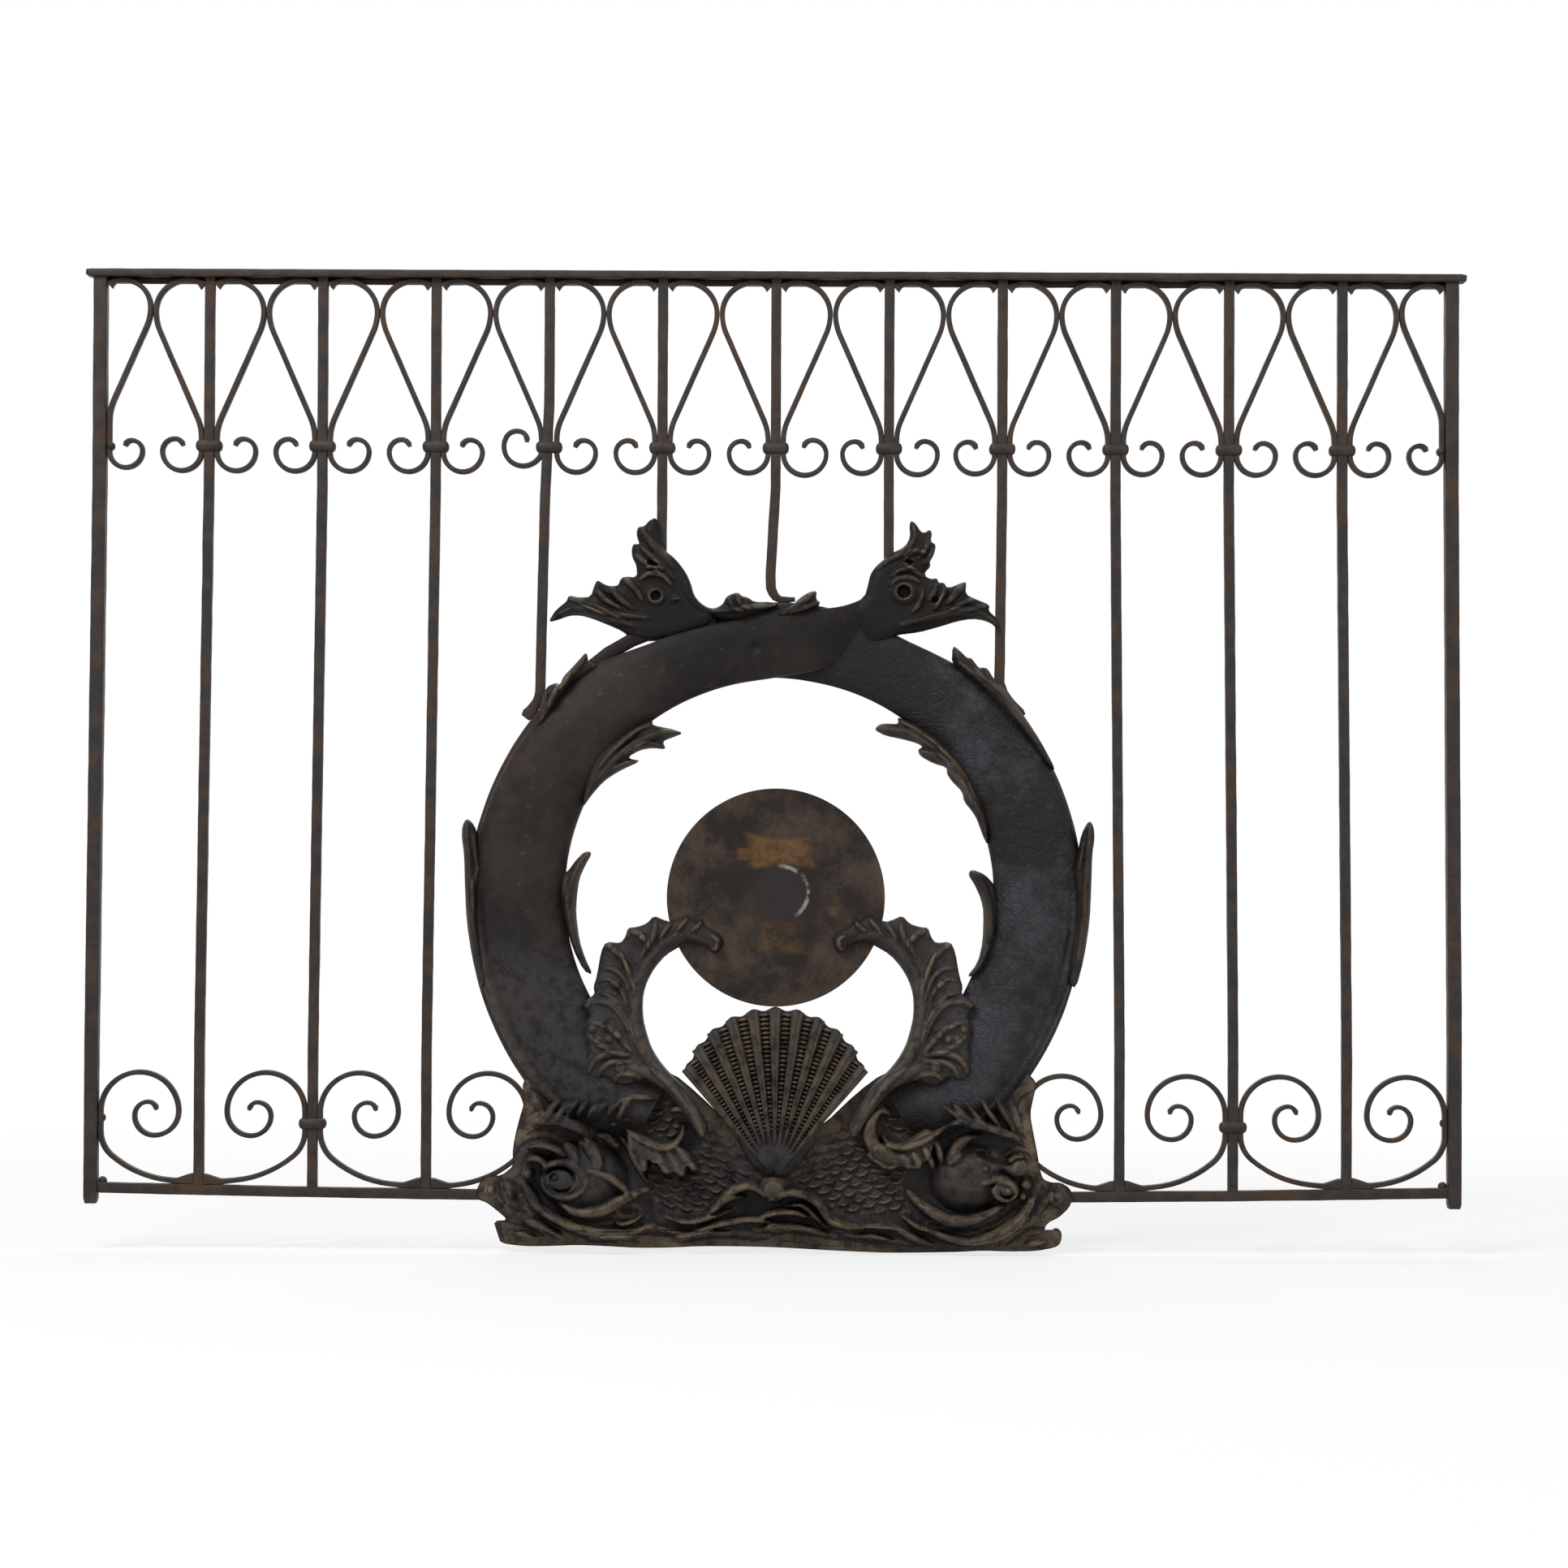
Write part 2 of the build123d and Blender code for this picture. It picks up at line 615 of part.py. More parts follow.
os.makedirs("parts", exist_ok=True)
for node, part in build().items():
    export_step(part, f"parts/{node}.step")
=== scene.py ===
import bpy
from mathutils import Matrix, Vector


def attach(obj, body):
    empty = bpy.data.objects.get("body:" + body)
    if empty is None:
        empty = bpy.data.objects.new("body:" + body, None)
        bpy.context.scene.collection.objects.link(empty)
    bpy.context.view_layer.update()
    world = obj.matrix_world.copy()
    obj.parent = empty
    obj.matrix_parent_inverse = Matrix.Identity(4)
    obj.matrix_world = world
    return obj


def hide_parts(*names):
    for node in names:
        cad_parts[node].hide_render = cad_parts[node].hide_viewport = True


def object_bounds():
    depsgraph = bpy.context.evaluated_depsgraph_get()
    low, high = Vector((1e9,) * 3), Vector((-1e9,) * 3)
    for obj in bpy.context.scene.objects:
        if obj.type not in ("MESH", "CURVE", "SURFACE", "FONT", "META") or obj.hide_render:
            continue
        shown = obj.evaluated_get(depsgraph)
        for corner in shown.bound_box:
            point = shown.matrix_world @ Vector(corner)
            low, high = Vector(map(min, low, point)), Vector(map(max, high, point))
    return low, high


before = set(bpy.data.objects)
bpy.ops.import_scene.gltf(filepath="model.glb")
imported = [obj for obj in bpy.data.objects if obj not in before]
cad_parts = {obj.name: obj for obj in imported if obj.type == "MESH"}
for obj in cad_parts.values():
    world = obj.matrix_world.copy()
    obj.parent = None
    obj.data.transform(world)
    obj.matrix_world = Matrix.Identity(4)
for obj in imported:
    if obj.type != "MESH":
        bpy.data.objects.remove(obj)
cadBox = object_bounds()

import copy
import math
import bpy
import numpy as np
from mathutils import Vector

# Wrought iron grille: forged bars and scrolls around a cast medallion of two dolphins.
# Places on the panel are in millimetres: across from the middle upright, up from the feet.
panel = {
    "midX": 815.9,       # middle upright, from the left stile's foot
    "medallion": 2.5,    # the medallion's axis beside it
    "seatY": -6.3,       # backs of the castings
    "top": 1120.0,
    "pitch": 136.0,
    "stile": 811.0,
    "stileFoot": 815.9,
    "stileHalf": 8.0,    # half widths of a stile and of an upright
    "barHalf": 6.0,
}


class Sock:
    # an output in a node tree; arithmetic on it adds Math nodes
    def __init__(self, tree, out=None):
        self.tree = tree
        self.out = out

    def node(self, kind, settings=None, inputs=None, out=0):
        made = self.tree.nodes.new(kind)
        for key, value in (settings or {}).items():
            if key == "stops":
                for i, (place, colour) in enumerate(value):
                    ramp = made.color_ramp.elements
                    stop = ramp[i] if i < 2 else ramp.new(place)
                    stop.position = place
                    stop.color = colour if isinstance(colour, tuple) else (colour, colour, colour, 1)
            else:
                setattr(made, key, value)
        for key, value in (inputs or {}).items():
            if isinstance(value, Sock):
                self.tree.links.new(value.out, made.inputs[key])
            else:
                made.inputs[key].default_value = value
        return Sock(self.tree, made.outputs[out] if made.outputs else None)

    def maths(self, operation, *terms, clamp=False):
        settings = {"operation": operation, "use_clamp": clamp}
        return self.node("ShaderNodeMath", settings, dict(enumerate(terms)))

    def __add__(self, other):
        return self.maths("ADD", self, other)

    def __radd__(self, other):
        return self.maths("ADD", other, self)

    def __sub__(self, other):
        return self.maths("SUBTRACT", self, other)

    def __rsub__(self, other):
        return self.maths("SUBTRACT", other, self)

    def __mul__(self, other):
        return self.maths("MULTIPLY", self, other)

    def __rmul__(self, other):
        return self.maths("MULTIPLY", other, self)

    def __truediv__(self, other):
        return self.maths("DIVIDE", self, other)

    def of(self, operation, *others):
        return self.maths(operation, self, *others)

    def clamped(self):
        return self.maths("ADD", self, 0.0, clamp=True)

    def axis(self, number):
        # one of a vector's three numbers
        return self.node("ShaderNodeSeparateXYZ", None, {0: self}, number)

    def vector(self, *three):
        return self.node("ShaderNodeCombineXYZ", None, dict(enumerate(three)))

    def blend(self, first, second):
        # a colour between two, by this mask
        return self.node("ShaderNodeMix", {"data_type": "RGBA"}, {0: self, 6: first, 7: second}, 2)


def noise(place, scale, detail=4.0, rough=0.55):
    inputs = {"Vector": place, "Scale": scale, "Detail": detail, "Roughness": rough}
    return place.node("ShaderNodeTexNoise", None, inputs)


def between(value, low, high):
    inputs = {"Value": value, "From Min": low, "From Max": high}
    return value.node("ShaderNodeMapRange", {"interpolation_type": "SMOOTHSTEP"}, inputs)


def newMaterial(name):
    made = bpy.data.materials.new(name)
    made.use_nodes = True
    made.node_tree.nodes.clear()
    return made, Sock(made.node_tree)


def finish(start, colour, roughness, relief, look):
    # the shader itself, with what is the same all over set on its own sockets
    bump = start.node("ShaderNodeBump", None,
                      {"Strength": look["bump"], "Distance": look["depth"], "Height": relief})
    shader = start.node("ShaderNodeBsdfPrincipled", None,
                        {"Base Color": colour, "Roughness": roughness, "Normal": bump,
                         "Metallic": look["metallic"], "Specular IOR Level": look["gloss"]})
    start.node("ShaderNodeOutputMaterial", None, {"Surface": shader})


# forged bars: almost black paint, rust brown where it has worn;
# the noises of each look are given as scale, detail and roughness
forged = {"dark": (0.014, 0.011, 0.0095, 1), "brown": (0.031, 0.021, 0.015, 1),
          "rust": (0.058, 0.031, 0.019, 1), "dust": (0.105, 0.085, 0.045, 1),
          "metallic": 0.0, "gloss": 0.28, "bump": 0.6, "depth": 0.001,
          "patches": (13.0, 6.0, 0.6), "grain": (190.0, 5.0, 0.65), "scale": (55.0, 3.0),
          "rustCover": 0.56, "rustShare": 0.85, "dustShare": 0.7}


def forgedIron():
    made, start = newMaterial("forgedIron")
    place = start.node("ShaderNodeTexCoord", None, None, "Object")
    patches = noise(place, *forged["patches"])
    grain = noise(place, *forged["grain"])
    scale = noise(place, *forged["scale"])
    facing = start.node("ShaderNodeNewGeometry", None, None, "Normal")
    upward = facing.axis(2)
    colour = between(scale, 0.35, 0.7).blend(forged["dark"], forged["brown"])
    worn = between(patches + 0.25 * grain, forged["rustCover"] + 0.1, forged["rustCover"] + 0.24)
    colour = (forged["rustShare"] * worn).blend(colour, forged["rust"])
    dusty = between(upward, 0.5, 0.95) * between(grain, 0.3, 0.6)
    colour = (forged["dustShare"] * dusty).blend(colour, forged["dust"])
    roughness = 0.5 + 0.3 * worn + 0.12 * grain
    finish(start, colour, roughness.clamped(), 0.55 * grain + 0.6 * scale, forged)
    return made


# castings: brown black, ochre where the relief is rubbed, greyer near the ground, and painted shade
# that darkens the hollows towards soot
cast = {"dark": (0.0095, 0.008, 0.0077, 1), "brown": (0.026, 0.0195, 0.0165, 1),
        "ochre": (0.19, 0.138, 0.085, 1), "rust": (0.042, 0.024, 0.015, 1),
        "sootAndShade": (0.0045, 0.004, 0.004, 1), "grey": (0.036, 0.034, 0.0345, 1),
        "metallic": 0.0, "gloss": 0.13, "bump": 0.8, "depth": 0.0018,
        "patches": (9.0, 6.0, 0.6), "grain": (240.0, 5.0, 0.65), "sand": (75.0, 4.0, 0.6),
        "pits": (520.0, 3.0, 0.6), "stains": (17.0, 7.0, 0.65),
        "crossing": (0.6, 0.7), "ground": (0.25, 0.36),      # heights in metres
        "rustShare": 0.7, "fleckShare": 0.16, "ochreShare": 0.85}


def castIron():
    made, start = newMaterial("castIron")
    place = start.node("ShaderNodeTexCoord", None, None, "Object")
    # worn: above 0 a rubbed crest, below 0 a hollow that gets painted shade
    worn = start.node("ShaderNodeAttribute", {"attribute_name": "worn"}, None, "Fac")
    patches = noise(place, *cast["patches"])
    grain = noise(place, *cast["grain"])
    sand = noise(place, *cast["sand"])
    pits = noise(place, *cast["pits"])
    mottled = between(patches + 0.3 * (sand - 0.5) + 0.3 * (pits - 0.5), 0.36, 0.68)
    colour = mottled.blend(cast["dark"], cast["brown"])
    up = place.axis(2)
    # the crossing has kept most of its black
    colour = (0.8 * between(up, *cast["crossing"])).blend(colour, cast["sootAndShade"])
    rusty = between(noise(place, *cast["stains"]), 0.6, 0.74)
    colour = (cast["rustShare"] * rusty).blend(colour, cast["rust"])
    flecks = between(sand * 0.6 + grain * 0.4, 0.6, 0.68)      # rubbed spots on plain stretches
    colour = (cast["fleckShare"] * flecks).blend(colour, cast["ochre"])
    # near the ground it is greyer, and less of the ochre shows
    low = 1 - between(up, *cast["ground"])
    dusty = between(sand + 0.4 * (pits - 0.5), 0.3, 0.6)
    colour = (0.75 * low * dusty).blend(colour, cast["grey"])
    # painted shade: the hollows of the relief (worn below 0) are darkened towards the soot colour
    hollowShade = (-1.0 * worn).clamped()
    colour = (0.75 * hollowShade).blend(colour, cast["sootAndShade"])
    fewer = 1 - 0.35 * low
    rubbed = worn * fewer * between(sand + 0.35 * grain, 0.42, 0.8) * between(patches, 0.28, 0.55)
    rubbed = rubbed.clamped()
    colour = (cast["ochreShare"] * rubbed).blend(colour, cast["ochre"])
    roughness = 0.4 + 0.25 * grain + 0.12 * rubbed + 0.15 * hollowShade
    finish(start, colour, roughness.clamped(), 0.35 * grain + 0.6 * sand + 0.2 * pits, cast)
    return made


# the right dolphin's back keeps crackled paint, with a painted sheen that makes its outer side bluer
# and lighter
sheen = {"dark": (0.0092, 0.008, 0.0078, 1), "blue": (0.03, 0.0315, 0.037, 1),
         "rust": (0.036, 0.021, 0.014, 1), "metallic": 0.0, "gloss": 0.17, "bump": 0.9, "depth": 0.002,
         "patches": (8.0, 6.0, 0.62), "grain": (210.0, 5.0, 0.65), "sand": (60.0, 5.0, 0.62),
         "stains": (21.0, 6.0, 0.65), "flakes": 78.0,
         # painted sheen: the outer side, between these places across, is made bluer in place of a cool
         # light's reflection
         "outward": (0.93, 1.06)}      # it is bluer on the outer side, between these places across


def crackledPaint():
    made, start = newMaterial("crackledPaint")
    place = start.node("ShaderNodeTexCoord", None, None, "Object")
    patches = noise(place, *sheen["patches"])
    grain = noise(place, *sheen["grain"])
    sand = noise(place, *sheen["sand"])
    # cells with slightly bent sides for the flakes
    bent = start.node("ShaderNodeTexNoise", None, {"Vector": place, "Scale": 30.0}, 1)
    bent = place.node("ShaderNodeVectorMath", {"operation": "SCALE"}, {0: bent, "Scale": 0.03})
    bent = place.node("ShaderNodeVectorMath", {"operation": "ADD"}, {0: place, 1: bent})
    flakes = place.node("ShaderNodeTexVoronoi", {"feature": "DISTANCE_TO_EDGE"},
                        {"Vector": bent, "Scale": sheen["flakes"]})
    cracks = between(flakes, 0.0, 0.12)
    across = place.axis(0)
    outward = between(across, *sheen["outward"])
    # painted sheen: bluer on the outer side, standing in for a reflection of cool light over the paint
    paintedSheen = outward * between(patches + 0.4 * (sand - 0.5), 0.42, 0.66)
    colour = paintedSheen.blend(sheen["dark"], sheen["blue"])
    rusty = between(noise(place, *sheen["stains"]), 0.6, 0.72)
    colour = (0.6 * rusty).blend(colour, sheen["rust"])
    colour = (0.4 * (1 - cracks)).blend(colour, sheen["dark"])
    roughness = 0.5 - 0.14 * outward + 0.25 * grain
    finish(start, colour, roughness.clamped(), 0.4 * grain + 0.24 * cracks + 0.7 * sand, sheen)
    return made


# the plate: brown, cloudy, with what is left of a worn ochre ground
plate = {"dark": (0.014, 0.011, 0.0095, 1), "brown": (0.056, 0.038, 0.028, 1),
         "ochre": (0.13, 0.066, 0.022, 1), "pale": (0.22, 0.22, 0.21, 1),
         "stain": (0.019, 0.0145, 0.0125, 1), "black": (0.022, 0.019, 0.019, 1),
         "metallic": 0.0, "gloss": 0.14, "bump": 0.35, "depth": 0.0006,
         "rough": (45.0, 6.0, 0.65), "cloud": (16.0, 6.0, 0.6), "grain": (230.0, 5.0, 0.65),
         "centre": (0.8244, 0.0, 0.3745), "blob": 0.034,      # metres
         # what is left of the ochre: across, up, half width, half height, strength
         "patches": ((0.0015, 0.05, 0.036, 0.018, 1.0), (0.0, -0.052, 0.026, 0.018, 0.5),
                     (-0.038, 0.046, 0.014, 0.007, 0.7), (0.062, -0.022, 0.006, 0.006, 0.6))}


def discPlate():
    made, start = newMaterial("discPlate")
    place = start.node("ShaderNodeTexCoord", None, None, "Object")
    away = place.node("ShaderNodeVectorMath", {"operation": "SUBTRACT"}, {0: place, 1: plate["centre"]})
    across = away.axis(0)
    up = away.axis(2)
    rough = noise(place, *plate["rough"])
    cloud = noise(place, *plate["cloud"])
    grain = noise(place, *plate["grain"])
    mottled = between(cloud + 0.35 * (rough - 0.5) + 0.3 * (grain - 0.5), 0.36, 0.68)
    colour = mottled.blend(plate["dark"], plate["brown"])
    wander = 0.02 * (cloud + 0.5 * rough - 0.75)

    def patch(x, z, wide, high):
        # soft-edged rectangle beside the plate's middle
        dx = (across - x).of("ABSOLUTE") / wide
        dz = (up - z).of("ABSOLUTE") / high
        far = dx.of("MAXIMUM", dz)
        return 1 - between(far + 75.0 * wander, 0.7, 1.15)

    ochre = 0.0
    for *spot, strength in plate["patches"]:
        ochre = (strength * patch(*spot)).of("MAXIMUM", ochre)
    colour = (0.8 * ochre * between(rough, 0.3, 0.62)).clamped().blend(colour, plate["ochre"])
    far = away.node("ShaderNodeVectorMath", {"operation": "LENGTH"}, {0: away}, 1)
    around = 1 - between(far + wander, 0.03, 0.075)
    colour = (0.55 * around * (1 - ochre)).clamped().blend(colour, plate["stain"])
    blob = 1 - between(far + 0.4 * wander, plate["blob"] - 0.002, plate["blob"])
    colour = (0.8 * blob).blend(colour, plate["black"])
    rim = between(far + 0.3 * wander, 0.031, 0.033) * (1 - between(far + 0.3 * wander, 0.035, 0.037))
    crescent = rim * between(across + 0.35 * up, 0.004, 0.02) * between(rough, 0.36, 0.5)
    colour = (0.95 * crescent).blend(colour, plate["pale"])
    roughness = 0.55 + 0.25 * grain
    finish(start, colour, roughness.clamped(), 0.5 * grain + 0.6 * rough + 0.5 * blob, plate)
    return made


materials = {"forgedIron": forgedIron(), "castIron": castIron(), "crackledPaint": crackledPaint(),
             "discPlate": discPlate()}
print("materials ready")


def treeWith(name, sizes, shape, look="forgedIron"):
    # a Geometry Nodes tree: named sizes in, the finished iron out
    tree = bpy.data.node_groups.new(name, "GeometryNodeTree")
    tree.interface.new_socket("Path", in_out="INPUT", socket_type="NodeSocketGeometry")
    for label, value in sizes.items():
        socket = tree.interface.new_socket(label, in_out="INPUT", socket_type="NodeSocketFloat")
        socket.default_value = value
    tree.interface.new_socket("Iron", in_out="OUTPUT", socket_type="NodeSocketGeometry")
    entry = tree.nodes.new("NodeGroupInput")
    given = {socket.name: Sock(tree, socket) for socket in entry.outputs if socket.name}
    iron = shape(given)
    iron = iron.node("GeometryNodeRealizeInstances", None, {0: iron})
    iron = iron.node("GeometryNodeSetMaterial", None, {"Geometry": iron, "Material": materials[look]})
    iron.node("NodeGroupOutput", None, {0: iron})
    return tree


def named(start, attribute):
    return start.node("GeometryNodeInputNamedAttribute", {"data_type": "FLOAT"}, {"Name": attribute})


def hammered(given, iron):
    # a forged surface is never quite flat
    place = iron.node("GeometryNodeInputPosition")
    waves = iron.node("ShaderNodeTexNoise", None, {"Vector": place, "Scale": 34.0, "Detail": 3.0}, 1)
    moved = iron.node("ShaderNodeVectorMath", {"operation": "SUBTRACT"}, {0: waves, 1: (0.5, 0.5, 0.5)})
    moved = iron.node("ShaderNodeVectorMath", {"operation": "SCALE"},
                      {0: moved, "Scale": given["Hammering"]})
    return iron.node("GeometryNodeSetPosition", None, {"Geometry": iron, "Offset": moved})


def stripShape(given):
    # a bar of rectangular section drawn along every path, then stood up into the panel;
    # the girth along the path swells it across but not in depth
    path = given["Path"].node("GeometryNodeMeshToCurve", None, {0: given["Path"]})
    path = path.node("GeometryNodeResampleCurve", {"mode": "LENGTH"},
                     {"Curve": path, "Length": given["Step"]})
    path = path.node("GeometryNodeSetCurveNormal", {"mode": "Z_UP"}, {"Curve": path})
    section = path.node("GeometryNodeCurvePrimitiveQuadrilateral", None,
                        {"Width": given["Thickness"], "Height": given["Depth"]})
    section = path.node("GeometryNodeFilletCurve", {"mode": "POLY"},
                        {"Curve": section, "Count": 3, "Radius": given["Corner"]})
    iron = path.node("GeometryNodeCurveToMesh", None,
                     {"Curve": path, "Profile Curve": section, "Scale": named(path, "girth"),
                      "Fill Caps": True})
    place = iron.node("GeometryNodeInputPosition")
    deep = place.axis(2) / named(iron, "girth")
    place = iron.vector(place.axis(0), place.axis(1), deep + given["Lift"])
    iron = iron.node("GeometryNodeSetPosition", None, {"Geometry": iron, "Position": place})
    iron = iron.node("GeometryNodeTransform", None, {"Geometry": iron, "Rotation": (math.pi / 2, 0, 0)})
    return hammered(given, iron)


# in metres; Lift moves a strip back or forth
stripSizes = {"Thickness": 0.006, "Depth": 0.012, "Corner": 0.0013, "Step": 0.004,
              "Hammering": 0.0007, "Lift": 0.0}
stripTree = treeWith("forgedStrip", stripSizes, stripShape)


def edgesOf(name, paths):
    # paths across and up the panel, as a mesh of edges lying in XY; a third number is the girth
    points, edges, girths = [], [], []
    for path in paths:
        first = len(points)
        for x, z, *girth in path:
            points.append(((x + panel["midX"]) / 1000, z / 1000, 0))
            girths.append(girth[0] if girth else 1.0)
        edges += [(i, i + 1) for i in range(first, len(points) - 1)]
    made = bpy.data.meshes.new(name)
    made.from_pydata(points, edges, [])
    made.attributes.new("girth", "FLOAT", "POINT").data.foreach_set("value", girths)
    return made


def joined(name, meshes, nodes):
    # one finished piece from plain meshes, riding on the panel
    piece = bpy.data.objects.new(name, meshes[0])
    bpy.context.scene.collection.objects.link(piece)
    if len(meshes) > 1:
        others = [bpy.data.objects.new(name + "Part", mesh) for mesh in meshes[1:]]
        for other in others:
            bpy.context.scene.collection.objects.link(other)
        with bpy.context.temp_override(active_object=piece, object=piece,
                                       selected_editable_objects=[piece] + others,
                                       selected_objects=[piece] + others):
            bpy.ops.object.join()
    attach(piece, "root")
    if nodes:
        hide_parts(*nodes)
    print(name, len(piece.data.polygons), "faces")
    return piece


def grown(name, source, tree, sizes):
    # what a tree makes of a source mesh, as a plain mesh
    grower = bpy.data.objects.new(name + "Path", source)
    bpy.context.scene.collection.objects.link(grower)
    live = grower.modifiers.new("grow", "NODES")
    live.node_group = tree
    for item in tree.interface.items_tree:
        if item.item_type == "SOCKET" and item.in_out == "INPUT" and item.name in sizes:
            live[item.identifier] = sizes[item.name]
    grower.update_tag()
    bpy.context.view_layer.update()
    state = grower.evaluated_get(bpy.context.evaluated_depsgraph_get())
    made = bpy.data.meshes.new_from_object(state)
    made.name = name
    bpy.data.objects.remove(grower)
    made.shade_smooth()
    made.set_sharp_from_angle(angle=math.radians(38))
    return made


def forgedStrips(name, paths, **sizes):
    return grown(name, edgesOf(name + "Paths", paths), stripTree, dict(stripSizes, **sizes))


def bentPath(start, heading, moves, step=5.0):
    # straight runs (length, 0) and tangent bends (radius, degrees), left positive
    x, z = start
    a = math.radians(heading)
    path = [(x, z)]
    for size, turn in moves:
        if turn == 0:
            x, z = x + size * math.cos(a), z + size * math.sin(a)
            path.append((x, z))
            continue
        count = max(2, math.ceil(abs(turn) / step))
        side = 1 if turn > 0 else -1
        cx, cz = x - side * size * math.sin(a), z + side * size * math.cos(a)
        for _ in range(count):
            a += math.radians(turn) / count
            x, z = cx + side * size * math.sin(a), cz - side * size * math.cos(a)
            path.append((x, z))
    return path


def lengthened(path, ends):
    # girth along a path: (distance from the path's end, girth) pairs, blended between
    places = np.array(path)
    gone = np.concatenate([[0], np.cumsum(np.hypot(*np.diff(places, axis=0).T))])
    left = gone[-1] - gone
    far, girths = zip(*ends)
    return [(x, z, float(g)) for (x, z), g in zip(path, np.interp(left, far, girths))]


# scrolls under the cap rail, a pair on each upright and a half pair on each stile
heart = {"crownOut": 27.0, "slope": 23.7, "bend": 60.0, "crown": 1107.2, "collar": 908.0,
         "collarHalf": 6.5, "between": 18.0, "strip": 6.0, "gap": 0.3, "curls": (1.0, 0.64, 0.43),
         "onStile": 131.0,      # what the half pairs share with the next strip
         # by upright and side: a curl knocked aside, and two wider than the rest
         "tilted": {(4, -1): 25.0}, "swollen": {(6, 1): 1.1, (7, 1): 1.05},
         "girths": ((0, 0.75), (3, 1.15), (14, 0.9), (60, 0.95), (130, 1.05), (320, 1.0))}


def heartPath(axis, half, reach, curlOut, side, tilt=0.0, swell=1.0):
    shoulder = reach - heart["crownOut"]
    footX = half + heart["gap"]
    first = math.degrees(math.acos((footX - heart["crownOut"]) / (shoulder + heart["strip"] / 2)))
    centre = heart["crown"] - shoulder
    rest = half + heart["strip"] / 2 + heart["gap"] / 2
    slope = math.radians(heart["slope"])
    across = heart["bend"] * (1 - math.cos(slope))
    run = (reach - rest - 2 * across) / math.sin(slope)
    drop = 2 * heart["bend"] * math.sin(slope) + run * math.cos(slope)
    plumb = centre - drop - (heart["collar"] - heart["collarHalf"])
    curl = swell * (curlOut - rest - heart["strip"] / 2) / 2
    big, middle, small = (curl * share for share in heart["curls"])
    moves = [(shoulder, -first), (heart["bend"], -heart["slope"]), (run, 0),
             (heart["bend"], heart["slope"]), (plumb, 0)]
    moves += [(heart["strip"], tilt)] if tilt else []
    moves += [(big, 180), (middle, 90), (small, 80)]
    turn = math.radians(first)
    start = (heart["crownOut"] + shoulder * math.cos(turn), centre + shoulder * math.sin(turn))
    path = lengthened(bentPath(start, first - 90, moves), heart["girths"])
    # the foot thickens downwards against the upright
    path[0] = (path[0][0], path[0][1] - 1.5, 1.9)
    path[1] = (path[1][0], path[1][1] - 0.6, 1.5)
    return [(axis + side * x, z, girth) for x, z, girth in path]


def heartPaths():
    reach = (panel["pitch"] - heart["strip"] - heart["gap"]) / 2
    curlOut = (panel["pitch"] - heart["between"]) / 2
    paths = []
    for n in range(1, 12):
        for side in (-1, 1):
            tilt, swell = heart["tilted"].get((n, side), 0.0), heart["swollen"].get((n, side), 1.0)
            axis = (n - 6) * panel["pitch"]
            paths.append(heartPath(axis, panel["barHalf"], reach, curlOut, side, tilt, swell))
    stileReach = heart["onStile"] - reach - heart["strip"] - heart["gap"]
    stileCurl = heart["onStile"] - curlOut - heart["between"]
    for side in (1, -1):
        paths.append(heartPath(-side * panel["stile"], panel["stileHalf"], stileReach, stileCurl, side))
    return paths


heartNodes = [f"heart_{n:02d}" for n in range(1, 12)] + ["heart_left", "heart_right"]
joined("hearts", [forgedStrips("hearts", heartPaths())], heartNodes)


# lower rail, with the sag of a long life
rail = {"mid": 16.5, "sag": 8.5, "span": 811.0, "height": 12.5, "end": 25.0,
        "inStile": 4.9,      # how far its ends reach into the leaning stiles
        "cap": 9.0, "capDepth": 29.4, "capHalf": 827.2, "under": 7.0, "underBack": -0.0095}


def railTop(x):
    bow = (rail["span"] ** 2 + rail["sag"] ** 2) / (2 * rail["sag"])
    return rail["mid"] + bow - math.sqrt(bow ** 2 - x ** 2)


def footX(n):
    # where an upright stands on the rail: they fan out a little, and the middle one leans left
    if n == 6:
        return -4.0
    return (n - 6) * panel["pitch"] + 7.0 * max(-1.0, min(1.0, (n - 6) / 3))


def rails():
    inner = panel["stile"] - panel["stileHalf"] + rail["inStile"]
    low = [(x, railTop(x) - rail["height"] / 2) for x in np.linspace(-inner, inner, 41)]
    lower = forgedStrips("bottomRail", [low], Thickness=rail["height"] / 1000, Step=0.006,
                         Hammering=0.0011)
    joined("bottomRail", [lower], ["bottom_rail"])
    level = panel["top"] - 0.5 - rail["cap"] / 2
    ends = rail["capHalf"]
    # its ends are worn down a little
    cap = [(-ends, level + 0.6, 0.72), (-ends + 5, level, 1.0), (ends - 7, level, 1.0),
           (ends - 3, level + 0.3, 0.93), (ends, level - 0.5, 0.8)]
    upper = forgedStrips("topRail", [cap], Thickness=rail["cap"] / 1000, Depth=rail["capDepth"] / 1000,
                         Corner=0.0018, Hammering=0.0009, Step=0.006)
    joined("topRail", [upper], ["top_rail"])
    level = panel["top"] - rail["cap"] - rail["under"] / 2
    inner = panel["stile"] - panel["stileHalf"]
    thick = rail["under"] / 1000
    strip = forgedStrips("underRail", [[(-inner, level), (inner, level)]], Thickness=thick, Depth=thick,
                         Lift=rail["underBack"], Step=0.006)
    joined("underRail", [strip], ["under_rail"])


rails()


